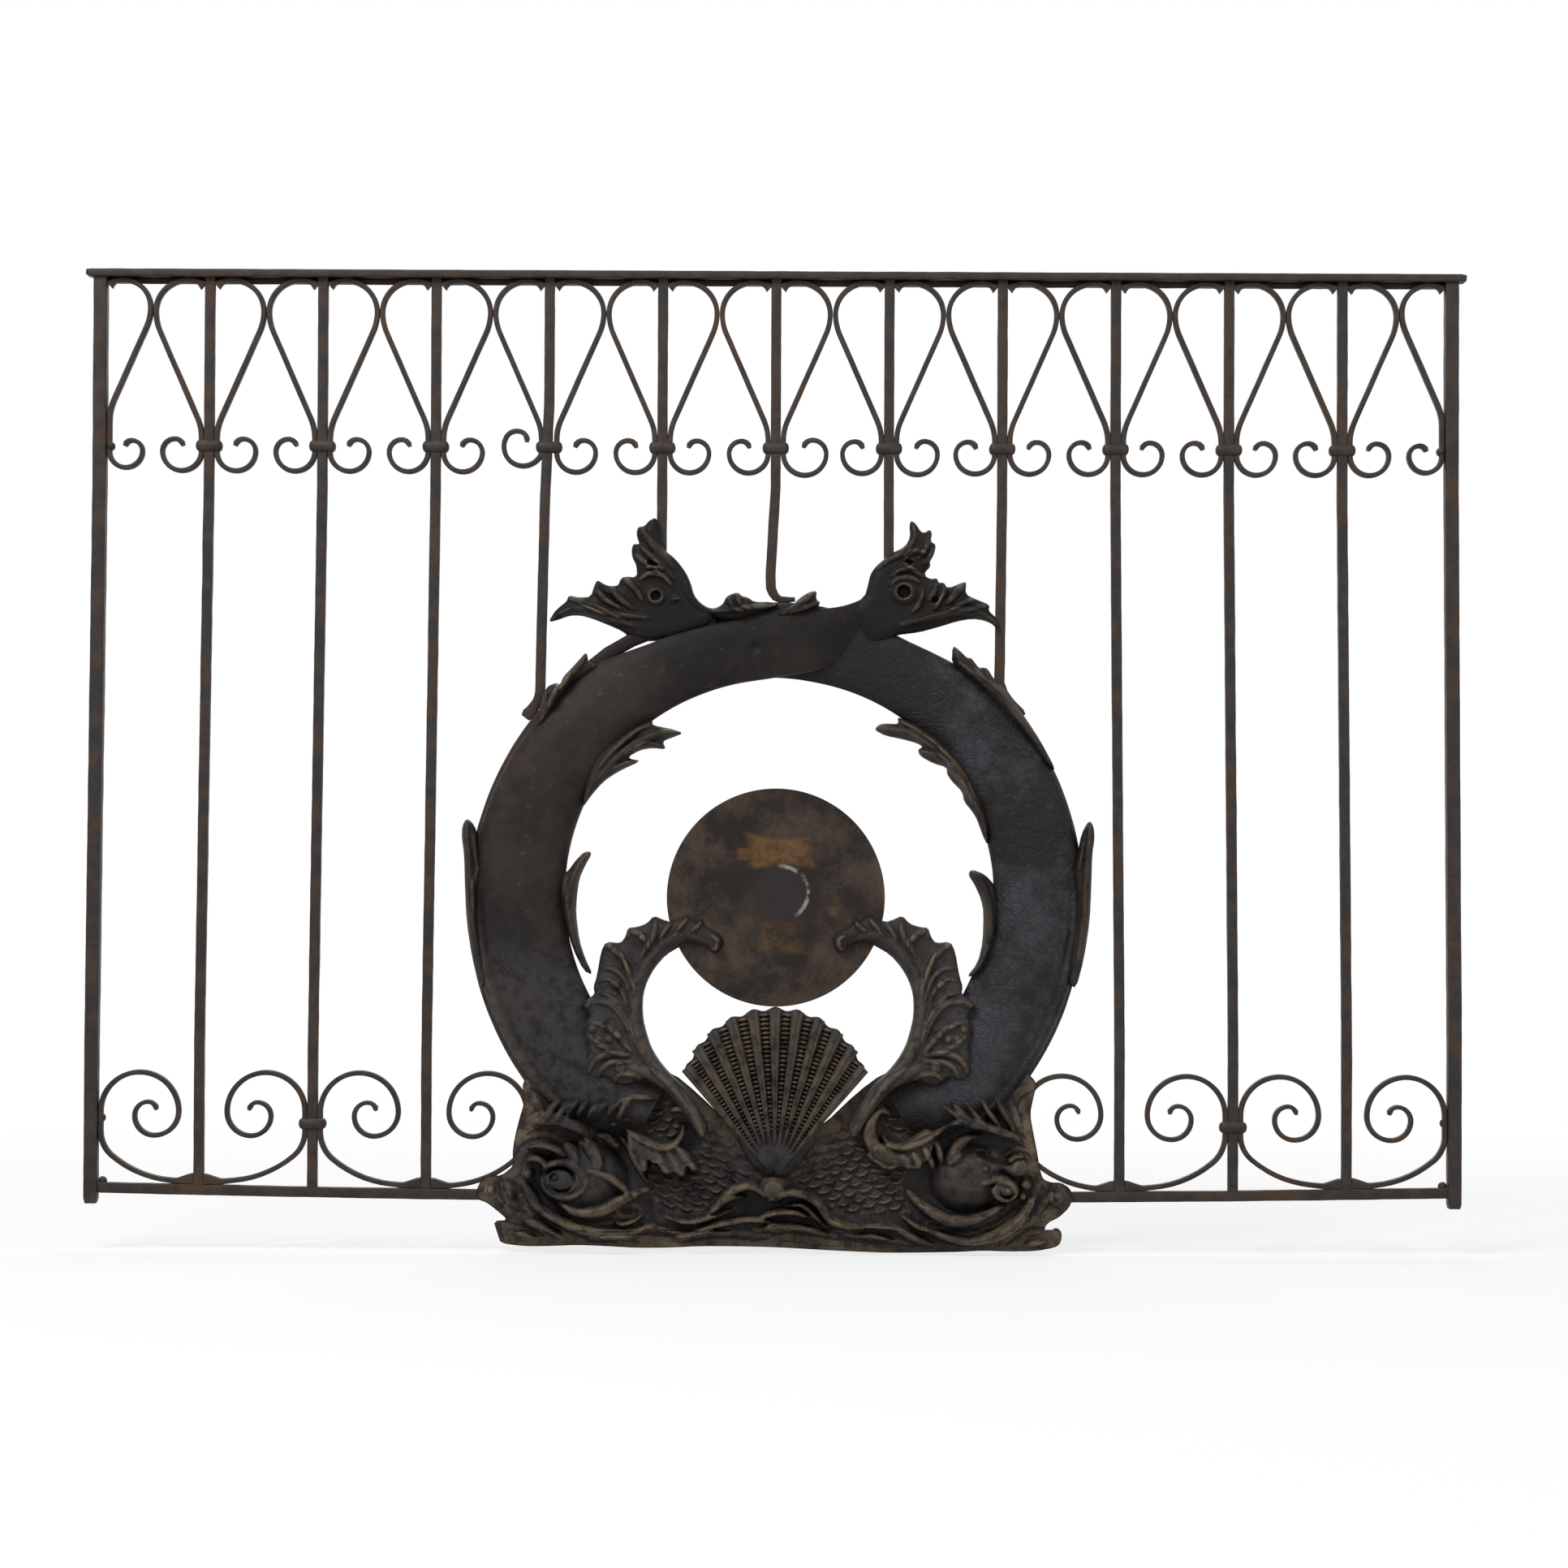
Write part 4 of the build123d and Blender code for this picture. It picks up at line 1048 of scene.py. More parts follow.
def bodyPiece(name, node, side, look):
    # side is -1 for the left dolphin, whose body lies in front at the crossing
    angles = np.linspace(body["start"], body["end"], body["along"])[:, None]
    t = np.cos(np.linspace(np.pi, 0, body["across"]))[None, :]
    front = side < 0
    edges = body["left" if front else "right"]
    outer, inner = edgeAt(angles, edges["outer"]), edgeAt(angles, edges["inner"])
    half = (outer - inner) / 2
    far = (outer + inner) / 2 + half * t
    px = far * np.sin(np.radians(angles))
    pz = body["level"] + far * np.cos(np.radians(angles))
    share = np.clip((angles - body["thinFrom"]) / body["thinOver"], 0, 1)
    crossing = eased(angles, *body["crossing"])
    wall = body["wall"] + (body["step"] if front else 0) * crossing
    relief = body["relief"] * (1 - body["thinning"] * share ** 2)
    relief = relief * (1 if front else body["under"] - body["tucked"] * crossing)
    flat, blunt = body["dome"]
    high = wall + (relief - wall) * (1 - np.abs(t) ** flat) ** blunt
    # under the fin's root the body gives way, and it runs out under the head
    low, top, loss = body["finRoot"]
    high = high * (1 - loss * (eased(-t, -0.1, 0.9) * eased(-angles, low, top)))
    high = high * eased(pz, *body["headTop"])
    # the end that meets the tail sinks into it
    leftStart, rightStart, last, loss = body["tailEnd"]
    high = high * (1 - loss * eased(angles, leftStart if front else rightStart, last)) + 0.5
    # a rolled rim along the outer edge of the lower half: a groove with a bead outside it
    fromEdge = half * (1 - t)
    rim = eased(-angles, *body["rim"])
    place, wide, deep = body["groove"]
    high = high - deep * rim * np.exp(-((fromEdge - place) / wide) ** 2)
    place, wide, rise = body["bead"]
    high = high + rise * rim * np.exp(-((fromEdge - place) / wide) ** 2)
    # a slow crease along the body, and dents
    place, wide, deep = body["crease"]
    high = high - deep * np.exp(-((t + place) / wide) ** 2) * eased(-angles, 20, 60)
    high = high + body["dents"] * wander(px, pz, 1.0 if front else 2.3) * (1 - t ** 4)
    if front:      # the bolt hole near the crossing
        holeX, holeZ, wide, deep = body["hole"]
        high = high - deep * np.exp(-(((px - holeX) ** 2 + (pz - holeZ) ** 2) / wide ** 2) ** 2)
    px = px if front else -px
    places = np.stack([(px + panel["medallion"] + panel["midX"]) / 1000,
                       (panel["seatY"] - high) / 1000, pz / 1000], -1)
    # the front body's back is lifted where it rides over the other
    sole = body["sole"] + (body["lift"] if front else 0) * crossing
    sole = np.minimum(sole, 0.5 * high[:, [-1, 0]])
    soles = places[:, [-1, 0]].copy()
    soles[:, :, 1] = (panel["seatY"] - sole) / 1000
    rings = np.concatenate([places, soles], 1)
    made = closedShell(name, rings)
    # worn along both edges and on the bead
    worn = 0.25 * np.exp(-((1 - np.abs(t)) / 0.035) ** 2)
    worn = worn + 0.35 * rim * np.exp(-((fromEdge - 6) / 4) ** 2)
    worn = np.concatenate([np.clip(worn, 0, 1), np.zeros((len(angles), 2))], 1)
    keepWornAndShade(made, worn.reshape(-1))
    casting(name, [made], [node], look)


bodyPiece("leftBody", "dolphin_left_body", -1, "castIron")
bodyPiece("rightBody", "dolphin_right_body", 1, "crackledPaint")


# heads and scaled breasts, carved in one and cut apart at the cheek
breast = {"rim": 9.0, "swell": 21.0, "edge": 46.0, "scale": 20.0, "scaleRise": 1.5, "carved": 1.25,
          "flap": 4.5, "broad": 18, "highest": 45.5}

wholeSide = [(644, 1334), (646, 1350), (646, 1360), (641, 1376), (635, 1400), (632, 1420),
             (634, 1435), (618, 1448), (605, 1446), (594, 1452), (588, 1465), (590, 1477),
             (600, 1480), (613, 1490), (627, 1502), (609, 1503), (613, 1516), (618, 1531),
             (647, 1537), (686, 1536), (710, 1534), (745, 1536), (786, 1540), (830, 1539),
             (860, 1536), (905, 1536), (957, 1538), (1010, 1543), (1060, 1547), (1094, 1549),
             (1146, 1548), (1180, 1547), (1211, 1544), (1241, 1546), (1275, 1545), (1298, 1538),
             (1306, 1529), (1307, 1517), (1301, 1511), (1292, 1514), (1284, 1514), (1290, 1505),
             (1303, 1499), (1316, 1487), (1321, 1474), (1317, 1463), (1306, 1456), (1294, 1456),
             (1284, 1452), (1280, 1440), (1277, 1420), (1272, 1395), (1268, 1372), (1272, 1352),
             (1277, 1334), (1262, 1318), (1220, 1304), (1140, 1304), (1087, 1322), (1056, 1345),
             (1014, 1385), (957, 1422), (900, 1385), (858, 1345), (830, 1322), (780, 1306),
             (700, 1304), (656, 1318)]


def flames(first, last, top, low, count, lean):
    # the mane: short locks side by side along the back of the head
    locks = []
    for i in range(count):
        x = first + (last - first) * i / (count - 1)
        y = low + 3 * math.sin(2.1 * i)
        tip = (x + lean, top + 2 * math.sin(1.7 * i))
        locks.append(([(x, y), (x + 0.3 * lean, y - 9), tip], 5.5, 8.5))
    return locks


# ridges and grooves as (places, width, height)
leftCarving = [
    ([(645, 1340), (655, 1349), (664, 1359), (672, 1371)], 6, 7),
    ([(638, 1404), (648, 1388), (668, 1377), (690, 1377), (712, 1386), (728, 1400)], 10, 6),
    ([(635, 1426), (641, 1413), (655, 1404), (674, 1402), (692, 1408)], 4.5, -6),
    ([(640, 1430), (648, 1416), (663, 1409), (682, 1412), (698, 1422)], 5, 5),
    ([(645, 1436), (652, 1428), (661, 1425), (669, 1428), (675, 1436)], 5, 6),
    ([(697, 1407), (706, 1416), (713, 1430)], 7, 3),
    ([(715, 1402), (728, 1411), (737, 1424), (738, 1438)], 9, 3.5),
    ([(735, 1396), (750, 1401), (762, 1413)], 5, 4),
    ([(728, 1440), (750, 1446), (770, 1462), (778, 1478)], 5, 3),
    ([(668, 1440), (680, 1432), (698, 1430), (714, 1437), (723, 1452), (720, 1464)], 5, 3.5),
    ([(668, 1446), (672, 1462), (688, 1472), (708, 1471), (720, 1462)], 4, 2.5),
    ([(674, 1444), (684, 1437), (698, 1437), (708, 1445), (711, 1456)], 2.6, -3),
    ([(678, 1456), (688, 1463), (700, 1463), (708, 1456)], 2.2, -2.5),
    ([(692, 1480), (714, 1492), (745, 1489), (769, 1475), (797, 1464)], 8, 4),
    ([(660, 1474), (690, 1495), (722, 1503), (760, 1500)], 4, -5),
    ([(637, 1450), (648, 1459), (657, 1473), (668, 1486), (693, 1501), (714, 1510), (738, 1516),
      (772, 1517), (806, 1508)], 8, 8),
    ([(652, 1486), (670, 1500), (698, 1515), (726, 1525), (760, 1528)], 5, -7),
    ([(622, 1486), (633, 1496), (654, 1501), (673, 1509), (695, 1521), (722, 1530)], 7, 6),
    ([(601, 1451), (600, 1463), (605, 1475)], 3, 2.5),
    ([(614, 1452), (616, 1466), (624, 1482)], 4, -4),
    ([(622, 1450), (629, 1466), (636, 1484)], 5, 5),
    ([(612, 1511), (636, 1517), (662, 1524), (696, 1531)], 9, 6),
    ([(625, 1503), (650, 1511), (672, 1522)], 4, -7),
    ([(756, 1497), (765, 1506), (782, 1502), (792, 1494)], 3.5, 4),
    ([(771, 1389), (785, 1397), (803, 1407), (818, 1411), (832, 1407), (841, 1396), (843, 1384)],
     4.5, 6), ([(776, 1394), (780, 1412), (784, 1433)], 6, 3),
    ([(786, 1400), (791, 1418), (797, 1440)], 6, 3.5),
    ([(797, 1406), (801, 1418), (806, 1430)], 6, 3),
    ([(808, 1411), (813, 1425), (822, 1443)], 6, 3.5),
    ([(821, 1412), (829, 1426), (843, 1448)], 6, 3.5),
    ([(834, 1408), (844, 1422), (860, 1440)], 6, 3),
    ([(762, 1366), (766, 1356), (778, 1350), (795, 1350), (812, 1352)], 5, 5),
    ([(828, 1367), (838, 1364), (847, 1371)], 4.5, 6),
    ([(764, 1397), (777, 1416), (787, 1436), (796, 1452)], 4, 4),
    ([(880, 1491), (894, 1472), (912, 1460), (928, 1460), (941, 1471)], 6, 5),
    ([(868, 1500), (884, 1483), (902, 1473), (920, 1474)], 4, 3.5),
    ([(700, 1528), (760, 1522), (820, 1526), (880, 1516), (950, 1522)], 5, 5),
    ([(800, 1508), (840, 1518), (885, 1506), (925, 1500), (956, 1506)], 5, 5),
    ([(820, 1498), (850, 1504), (880, 1496), (905, 1488)], 4, 4),
    ([(840, 1532), (890, 1528), (930, 1531), (957, 1528)], 4, 4),
] + flames(676, 762, 1354, 1374, 8, 15)

rightCarving = [
    ([(1280, 1345), (1270, 1352), (1262, 1358), (1256, 1368)], 6, 7),
    ([(1156, 1357), (1180, 1374), (1208, 1385), (1232, 1393), (1258, 1405), (1273, 1417)], 6, 6),
    ([(1168, 1354), (1184, 1369), (1198, 1380)], 5, 5),
    ([(1187, 1354), (1199, 1371), (1214, 1383)], 5, 5),
    ([(1206, 1350), (1216, 1368), (1232, 1388)], 5, 5),
    ([(1224, 1349), (1234, 1368), (1248, 1394)], 5, 5),
    ([(1244, 1356), (1250, 1374), (1258, 1396)], 4, 4),
    ([(1230, 1429), (1242, 1418), (1256, 1414), (1268, 1419), (1276, 1431)], 3, 3),
    ([(1235, 1436), (1245, 1425), (1256, 1422), (1267, 1427), (1272, 1437)], 3, 3),
    ([(1203, 1419), (1215, 1424), (1230, 1431), (1244, 1432)], 5, -6),
    ([(1168, 1431), (1176, 1424), (1183, 1417)], 4, 4),
    ([(1192, 1401), (1178, 1411), (1167, 1426)], 6, 4),
    ([(1208, 1397), (1186, 1401), (1171, 1412)], 5, 4),
    ([(1208, 1455), (1224, 1450), (1241, 1454), (1251, 1468)], 5, 6),
    ([(1220, 1461), (1226, 1472), (1238, 1477), (1250, 1471)], 3, 4),
    ([(1228, 1461), (1232, 1469), (1239, 1472), (1246, 1467)], 2.4, -3),
    ([(1284, 1454), (1290, 1461), (1292, 1471), (1285, 1481), (1278, 1493)], 4.5, 4),
    ([(1142, 1512), (1163, 1521), (1191, 1527), (1224, 1519), (1249, 1504), (1264, 1486),
      (1277, 1463)], 8, 8),
    ([(1146, 1504), (1170, 1514), (1205, 1512), (1236, 1497), (1256, 1480)], 5, -6),
    ([(1118, 1466), (1132, 1481), (1150, 1493), (1174, 1503), (1206, 1498), (1234, 1484)], 8, 5),
    ([(1112, 1498), (1130, 1509), (1147, 1515)], 4, 5),
    ([(1060, 1510), (1100, 1510), (1124, 1522), (1156, 1534), (1188, 1537), (1216, 1532),
      (1246, 1517), (1264, 1500)], 6, 5), ([(1302, 1520), (1280, 1530), (1248, 1535)], 10, 7),
    ([(1286, 1512), (1268, 1512), (1254, 1521), (1238, 1533)], 5, -7),
    ([(1093, 1369), (1083, 1366), (1073, 1377), (1070, 1395), (1078, 1412), (1096, 1423),
      (1122, 1424)], 9, 7),
    ([(1086, 1399), (1095, 1408), (1112, 1411), (1132, 1405), (1155, 1393), (1167, 1385)], 4.5, 6),
    ([(1110, 1420), (1116, 1429), (1117, 1438)], 5, 5),
    ([(1122, 1416), (1129, 1427), (1132, 1438)], 5, 5),
    ([(1136, 1410), (1143, 1423), (1148, 1436)], 5, 5),
    ([(1150, 1402), (1155, 1414), (1158, 1428)], 5, 5),
    ([(1165, 1386), (1178, 1381), (1192, 1384), (1205, 1390)], 5, 5),
    ([(949, 1476), (968, 1468), (990, 1470), (1008, 1481), (1022, 1500), (1042, 1508), (1062, 1511)],
     6, 6), ([(966, 1484), (986, 1482), (1002, 1494), (1018, 1512)], 4, 4),
    ([(930, 1502), (950, 1493), (976, 1491), (1002, 1499)], 5, 4),
    ([(925, 1516), (952, 1509), (988, 1511), (1030, 1522)], 5, 5),
    ([(935, 1529), (970, 1523), (1010, 1528), (1060, 1534), (1120, 1536)], 5, 5),
    ([(1000, 1536), (1060, 1540), (1130, 1541), (1190, 1540)], 4, 4),
    ([(1040, 1520), (1080, 1522), (1120, 1532)], 4, 4),
]

leftFlap = [(772, 1389), (803, 1406), (818, 1411), (834, 1407), (848, 1416), (862, 1438),
            (853, 1441), (847, 1432), (845, 1449), (832, 1440), (822, 1446), (812, 1430),
            (806, 1432), (799, 1424), (796, 1444), (785, 1434), (778, 1418)]
rightFlap = mirrored([(772, 1386), (803, 1405), (818, 1411), (834, 1405), (846, 1412), (850, 1424),
                      (838, 1432), (826, 1440), (806, 1434), (790, 1440), (778, 1430), (766, 1410)])


# the scaled stretches and how their rows turn
scaled = [
    ([(845, 1345), (880, 1380), (925, 1418), (950, 1440), (935, 1468), (880, 1496), (820, 1500),
      (785, 1460), (800, 1420), (860, 1420), (858, 1380)], 14),
    ([(768, 1360), (800, 1346), (838, 1356), (850, 1384), (836, 1405), (812, 1408), (780, 1392)],
     -12),
    ([(1068, 1352), (1035, 1385), (990, 1418), (968, 1442), (985, 1470), (1015, 1492), (1060, 1500),
      (1130, 1500), (1115, 1462), (1120, 1436), (1080, 1424), (1062, 1395)], -14),
    ([(1076, 1388), (1090, 1362), (1130, 1352), (1160, 1366), (1150, 1390), (1112, 1408)], 12),
]

# knobs and hollows: place, half sizes, height
balls = [(603, 1464, 13, 15, 9), (651, 1444, 8, 7.5, 9), (690, 1452, 25, 19, 5),
         (685, 1448, 6, 6, -4), (685, 1448, 3.4, 3.4, 6), (775, 1491, 13, 6, -9),
         (757, 1383, 5, 4, 5), (773, 1377, 6, 4, 5), (762, 1409, 4, 3, 4), (744, 1397, 6, 3, 4),
         (672, 1380, 3, 3, 4), (720, 1450, 66, 54, 5), (953, 1462, 20, 20, 8),
         (1255, 1436, 21, 18, 9), (1190, 1450, 54, 50, 6), (1212, 1437, 3.5, 3.5, 5),
         (1237, 1464, 18, 14, 7), (1239, 1464, 4, 4, 5), (1263, 1457, 8, 8, 8),
         (1258, 1472, 5, 5, 6), (1305, 1472, 16, 15, 9), (1151, 1508, 10, 4, -8)]


def raisedFlap(relief, outline, high):
    # a leaf laid over the scales
    far = insideBy(relief.x, relief.y, rounded(outline))
    relief.h += high * np.clip((far + 1) / 3, 0, 1)


def carvedBreasts():
    both = Relief(wholeSide, 1.5).domed(breast["rim"], breast["swell"], breast["edge"])
    for area, turn in scaled:
        both.scales(area, breast["scale"], breast["scaleRise"], turn)
    raisedFlap(both, leftFlap, breast["flap"])
    raisedFlap(both, rightFlap, breast["flap"])
    for x, y, rx, ry, high in balls:
        both.ball(x, y, rx, ry, high, soft=rx > breast["broad"])
    many(both, leftCarving + rightCarving, breast["carved"])
    both.h = np.minimum(both.h, breast["highest"] - 2.0 * np.exp(-(both.h - 40) / 3))
    return both


carvedFront = carvedBreasts()
leftCheek = [(560, 1300), (764, 1300), (764, 1390), (780, 1440), (782, 1513), (560, 1513)]
rightCheek = [(1360, 1300), (1165, 1300), (1165, 1390), (1135, 1440), (1133, 1514), (1360, 1514)]
leftGill = [(764, 1300), (764, 1390), (780, 1440), (782, 1513), (956.5, 1513), (956.5, 1300)]
rightGill = [(1165, 1300), (1165, 1390), (1135, 1440), (1133, 1514), (956.5, 1514), (956.5, 1300)]
seaBand = [(560, 1513), (957, 1513), (1360, 1514), (1360, 1600), (560, 1600)]
for name, node, area in (("leftHead", "dolphin_left_head", leftCheek),
                         ("leftGill", "dolphin_left_gill", leftGill),
                         ("rightHead", "dolphin_right_head", rightCheek),
                         ("rightGill", "dolphin_right_gill", rightGill),
                         ("sea", "wave_base", seaBand)):
    casting(name, [carvedFront.part(area).mesh(name)], [node])


# fins: a smooth stem with leafy tufts along its outer edge, hooked over the plate
fin = {"rim": 8.0, "swell": 8.0, "edge": 16.0, "carved": 1.25, "back": 0.5,
       # it rises by so much between two heights of the drawing
       "rise": (17.0, 1150, 1290), "root": (6.0, 1320, 1385)}
finEdge = [(843, 1337), (824, 1320), (811, 1304), (802, 1288), (797, 1272), (793, 1256),
           (792, 1240), (793, 1224), (798, 1208), (807, 1192), (821, 1176), (840, 1165),
           (853, 1159), (868, 1163), (875, 1170), (882, 1175), (890, 1168), (892, 1157),
           (884, 1148), (870, 1142), (864, 1131), (856, 1135), (847, 1127), (839, 1131),
           (826, 1136), (817, 1133), (806, 1128), (797, 1138), (785, 1142), (774, 1143),
           (771, 1154), (765, 1162), (747, 1160), (741, 1172), (736, 1203), (732, 1215),
           (734, 1224), (724, 1231), (716, 1237), (722, 1243), (728, 1250), (722, 1262),
           (722, 1275), (727, 1288), (724, 1304), (723, 1322), (732, 1330), (750, 1324),
           (761, 1334), (776, 1334), (790, 1329), (805, 1333), (824, 1344), (840, 1364),
           (852, 1382), (866, 1402), (874, 1388), (862, 1366), (852, 1350)]
finCarving = [
    ([(866, 1164), (845, 1154), (822, 1162), (804, 1182), (790, 1208), (786, 1240), (790, 1275),
      (805, 1305), (830, 1332), (852, 1362), (864, 1394)], 10, 6),
    ([(800, 1168), (806, 1150), (808, 1136)], 5, 5),
    ([(790, 1180), (797, 1163), (790, 1152), (777, 1148)], 5, 5),
    ([(812, 1160), (820, 1146), (828, 1138)], 4, 4),
    ([(830, 1152), (838, 1142), (846, 1132)], 4, 4),
    ([(850, 1148), (858, 1142), (864, 1136)], 4, 4),
    ([(874, 1170), (882, 1168), (884, 1158), (876, 1152)], 4, 5),
    ([(783, 1225), (779, 1204), (767, 1180), (750, 1165)], 5, 5),
    ([(780, 1215), (774, 1192), (766, 1172)], 3.5, 4),
    ([(777, 1230), (772, 1208), (758, 1194), (742, 1192)], 4.5, 4.5),
    ([(774, 1238), (766, 1218), (752, 1206), (738, 1208)], 4, 4),
    ([(782, 1284), (771, 1254), (752, 1235), (727, 1233)], 5.5, 6),
    ([(780, 1262), (768, 1240), (752, 1226), (736, 1222)], 4, 4),
    ([(780, 1296), (765, 1276), (748, 1262), (728, 1258)], 5, 5),
    ([(776, 1298), (755, 1292), (738, 1284), (728, 1274)], 4.5, 5),
    ([(778, 1298), (754, 1296), (735, 1304), (726, 1322)], 5, 5.5),
    ([(780, 1306), (758, 1306), (744, 1314), (738, 1326)], 4.5, 5),
    ([(776, 1312), (804, 1322), (827, 1340), (851, 1376)], 9, 4.5),
    ([(757, 1330), (766, 1322), (780, 1322), (792, 1328)], 4, 4.5),
]


finKnobs = [(759, 1213, 6, 5), (731, 1266, 5, 5), (739, 1279, 5, 5), (751, 1279, 5, 4),
            (763, 1272, 6, 5), (746, 1265, 5, 4), (766, 1313, 7, 6), (725, 1237, 5, 5),
            (774, 1152, 4, 3), (792, 1156, 5, 4), (750, 1166, 4, 3)]


def finPiece(name, node, turn):
    # turn mirrors what is drawn for the left one, or leaves it
    front = Relief(turn(finEdge), 1.2).domed(fin["rim"], fin["swell"], fin["edge"])
    rises = [high * eased(front.y, *levels) for high, *levels in (fin["rise"], fin["root"])]
    front.h += rises[0] + rises[1]
    many(front, [(turn(points), width, high) for points, width, high in finCarving], fin["carved"])
    for x, y, r, high in finKnobs:
        (x, y), = turn([(x, y)])
        front.ball(x, y, r, r, high)
    casting(name, [front.mesh(name, back=fin["back"])], [node])


finPiece("leftFin", "fin_left", list)
finPiece("rightFin", "fin_right", mirrored)


# tails: three lobes of torn leaf with eyelets
leftTailEdge = [(808, 638), (800, 642), (794, 649), (786, 650), (784, 658), (786, 667), (789, 671),
                (780, 671), (778, 679), (779, 688), (784, 697), (785, 712), (769, 711), (764, 715),
                (762, 722), (753, 723), (745, 721), (736, 715), (732, 723), (728, 736), (714, 737),
                (701, 734), (698, 742), (690, 748), (683, 755), (676, 767), (686, 765), (702, 759),
                (716, 759), (730, 763), (750, 771), (766, 778), (776, 786), (800, 792), (840, 786),
                (880, 772), (884, 750), (873, 750), (862, 743), (855, 734), (851, 719), (845, 706),
                (833, 690), (818, 678), (814, 664), (812, 650)]
rightTailEdge = [(1122, 642), (1128, 646), (1134, 656), (1139, 657), (1145, 653), (1148, 658),
                 (1146, 668), (1153, 672), (1150, 685), (1145, 693), (1146, 699), (1139, 706),
                 (1140, 711), (1146, 714), (1154, 713), (1156, 719), (1162, 718), (1167, 726),
                 (1188, 717), (1190, 720), (1189, 733), (1202, 739), (1219, 746), (1217, 753),
                 (1227, 762), (1230, 774), (1227, 776), (1223, 770), (1212, 765), (1198, 763),
                 (1179, 766), (1157, 773), (1131, 780), (1104, 783), (1098, 788), (1057, 802),
                 (1030, 800), (1020, 770), (1030, 752), (1044, 749), (1065, 736), (1069, 721),
                 (1072, 708), (1079, 698), (1097, 683), (1115, 674), (1121, 662), (1120, 648)]
leftTailCarving = [
    ([(703, 738), (728, 748), (760, 758), (800, 762)], 5, 5),
    ([(731, 722), (744, 738), (766, 752)], 5, 5), ([(752, 726), (766, 740), (782, 752)], 5, 4),
    ([(770, 715), (784, 728), (792, 742)], 5, 5),
    ([(690, 757), (712, 752), (740, 758), (780, 772)], 6, 5),
    ([(788, 672), (800, 684), (818, 700), (832, 716)], 5, 5),
    ([(783, 684), (795, 694), (812, 706)], 4.5, 4.5),
    ([(790, 652), (800, 666), (814, 684), (830, 702)], 6, 5),
    ([(788, 716), (800, 708), (816, 710), (828, 722)], 4.5, 6),
    ([(795, 702), (806, 700), (818, 704)], 3.5, 5), ([(827, 744), (831, 739), (839, 739)], 3, 4),
    ([(846, 716), (850, 732), (858, 744), (872, 754)], 6, 3),
    ([(716, 742), (738, 752), (760, 764)], 3, -3), ([(740, 726), (752, 738), (768, 748)], 3, -3),
]
rightTailCarving = [
    ([(1098, 712), (1108, 704), (1122, 703), (1137, 712)], 4, 5),
    ([(1095, 723), (1105, 714), (1120, 713), (1134, 719)], 4, 5),
    ([(1112, 690), (1125, 680), (1141, 683)], 4.5, 5),
    ([(1112, 697), (1121, 699), (1131, 702)], 4, 4),
    ([(1080, 702), (1098, 689), (1115, 680), (1125, 664), (1124, 650)], 5, 4),
    ([(1130, 690), (1140, 676), (1145, 660)], 4, 4),
    ([(1136, 696), (1146, 686), (1150, 676)], 4, 4),
    ([(1110, 772), (1150, 761), (1180, 754), (1205, 757), (1225, 768)], 6, 5),
    ([(1137, 728), (1132, 744), (1122, 756)], 4.5, 5),
    ([(1154, 718), (1150, 730), (1140, 742)], 5, 4),
    ([(1164, 722), (1160, 738), (1150, 752)], 5, 5),
    ([(1187, 720), (1176, 734), (1164, 746)], 5, 5),
    ([(1200, 741), (1186, 744), (1170, 752)], 4, 4),
    ([(1215, 748), (1200, 750), (1184, 754)], 4, 3),
    ([(1170, 728), (1163, 738), (1156, 748)], 3, -3),
]
tails = {"rim": 5.0, "swell": 9.0, "edge": 16.0, "carved": 1.3}


def tailPieces():
    left = Relief(leftTailEdge, 1.2).domed(tails["rim"], tails["swell"], tails["edge"])
    many(left, leftTailCarving, tails["carved"])
    left.ball(808, 735, 14, 13, 4).ball(808, 735, 7, 6.5, -11).ball(804, 696, 7, 3.5, -7, 15)
    right = Relief(rightTailEdge, 1.2).domed(tails["rim"], tails["swell"], tails["edge"])
    right.h *= 0.2 + 0.8 * eased(right.x - 0.5 * (right.y - 760), 1028, 1068)
    many(right, rightTailCarving, tails["carved"])
    right.ball(1113, 730, 18, 17, 4).ball(1113, 730, 9, 8.5, -13)
    right.ball(1151, 740, 5, 4.5, -7).ball(1120, 694, 5, 3.5, -7, 10)
    return left, right


leftTail, rightTail = tailPieces()
# the strip that joins the left tail to the body behind the band
strip = [(712, 826), (725, 815), (745, 799), (773, 783), (800, 772), (830, 764), (884, 760),
         (884, 776), (845, 779), (810, 786), (782, 797), (757, 811), (738, 824), (722, 838)]
behindBand = Relief(strip, 1.4, 0).domed(7.0, 3.0, 8.0)
casting("leftTail", [leftTail.mesh("leftTail"), behindBand.mesh("behindBand")], ["dolphin_left_tail"])
casting("rightTail", [rightTail.mesh("rightTail")], ["dolphin_right_tail"])


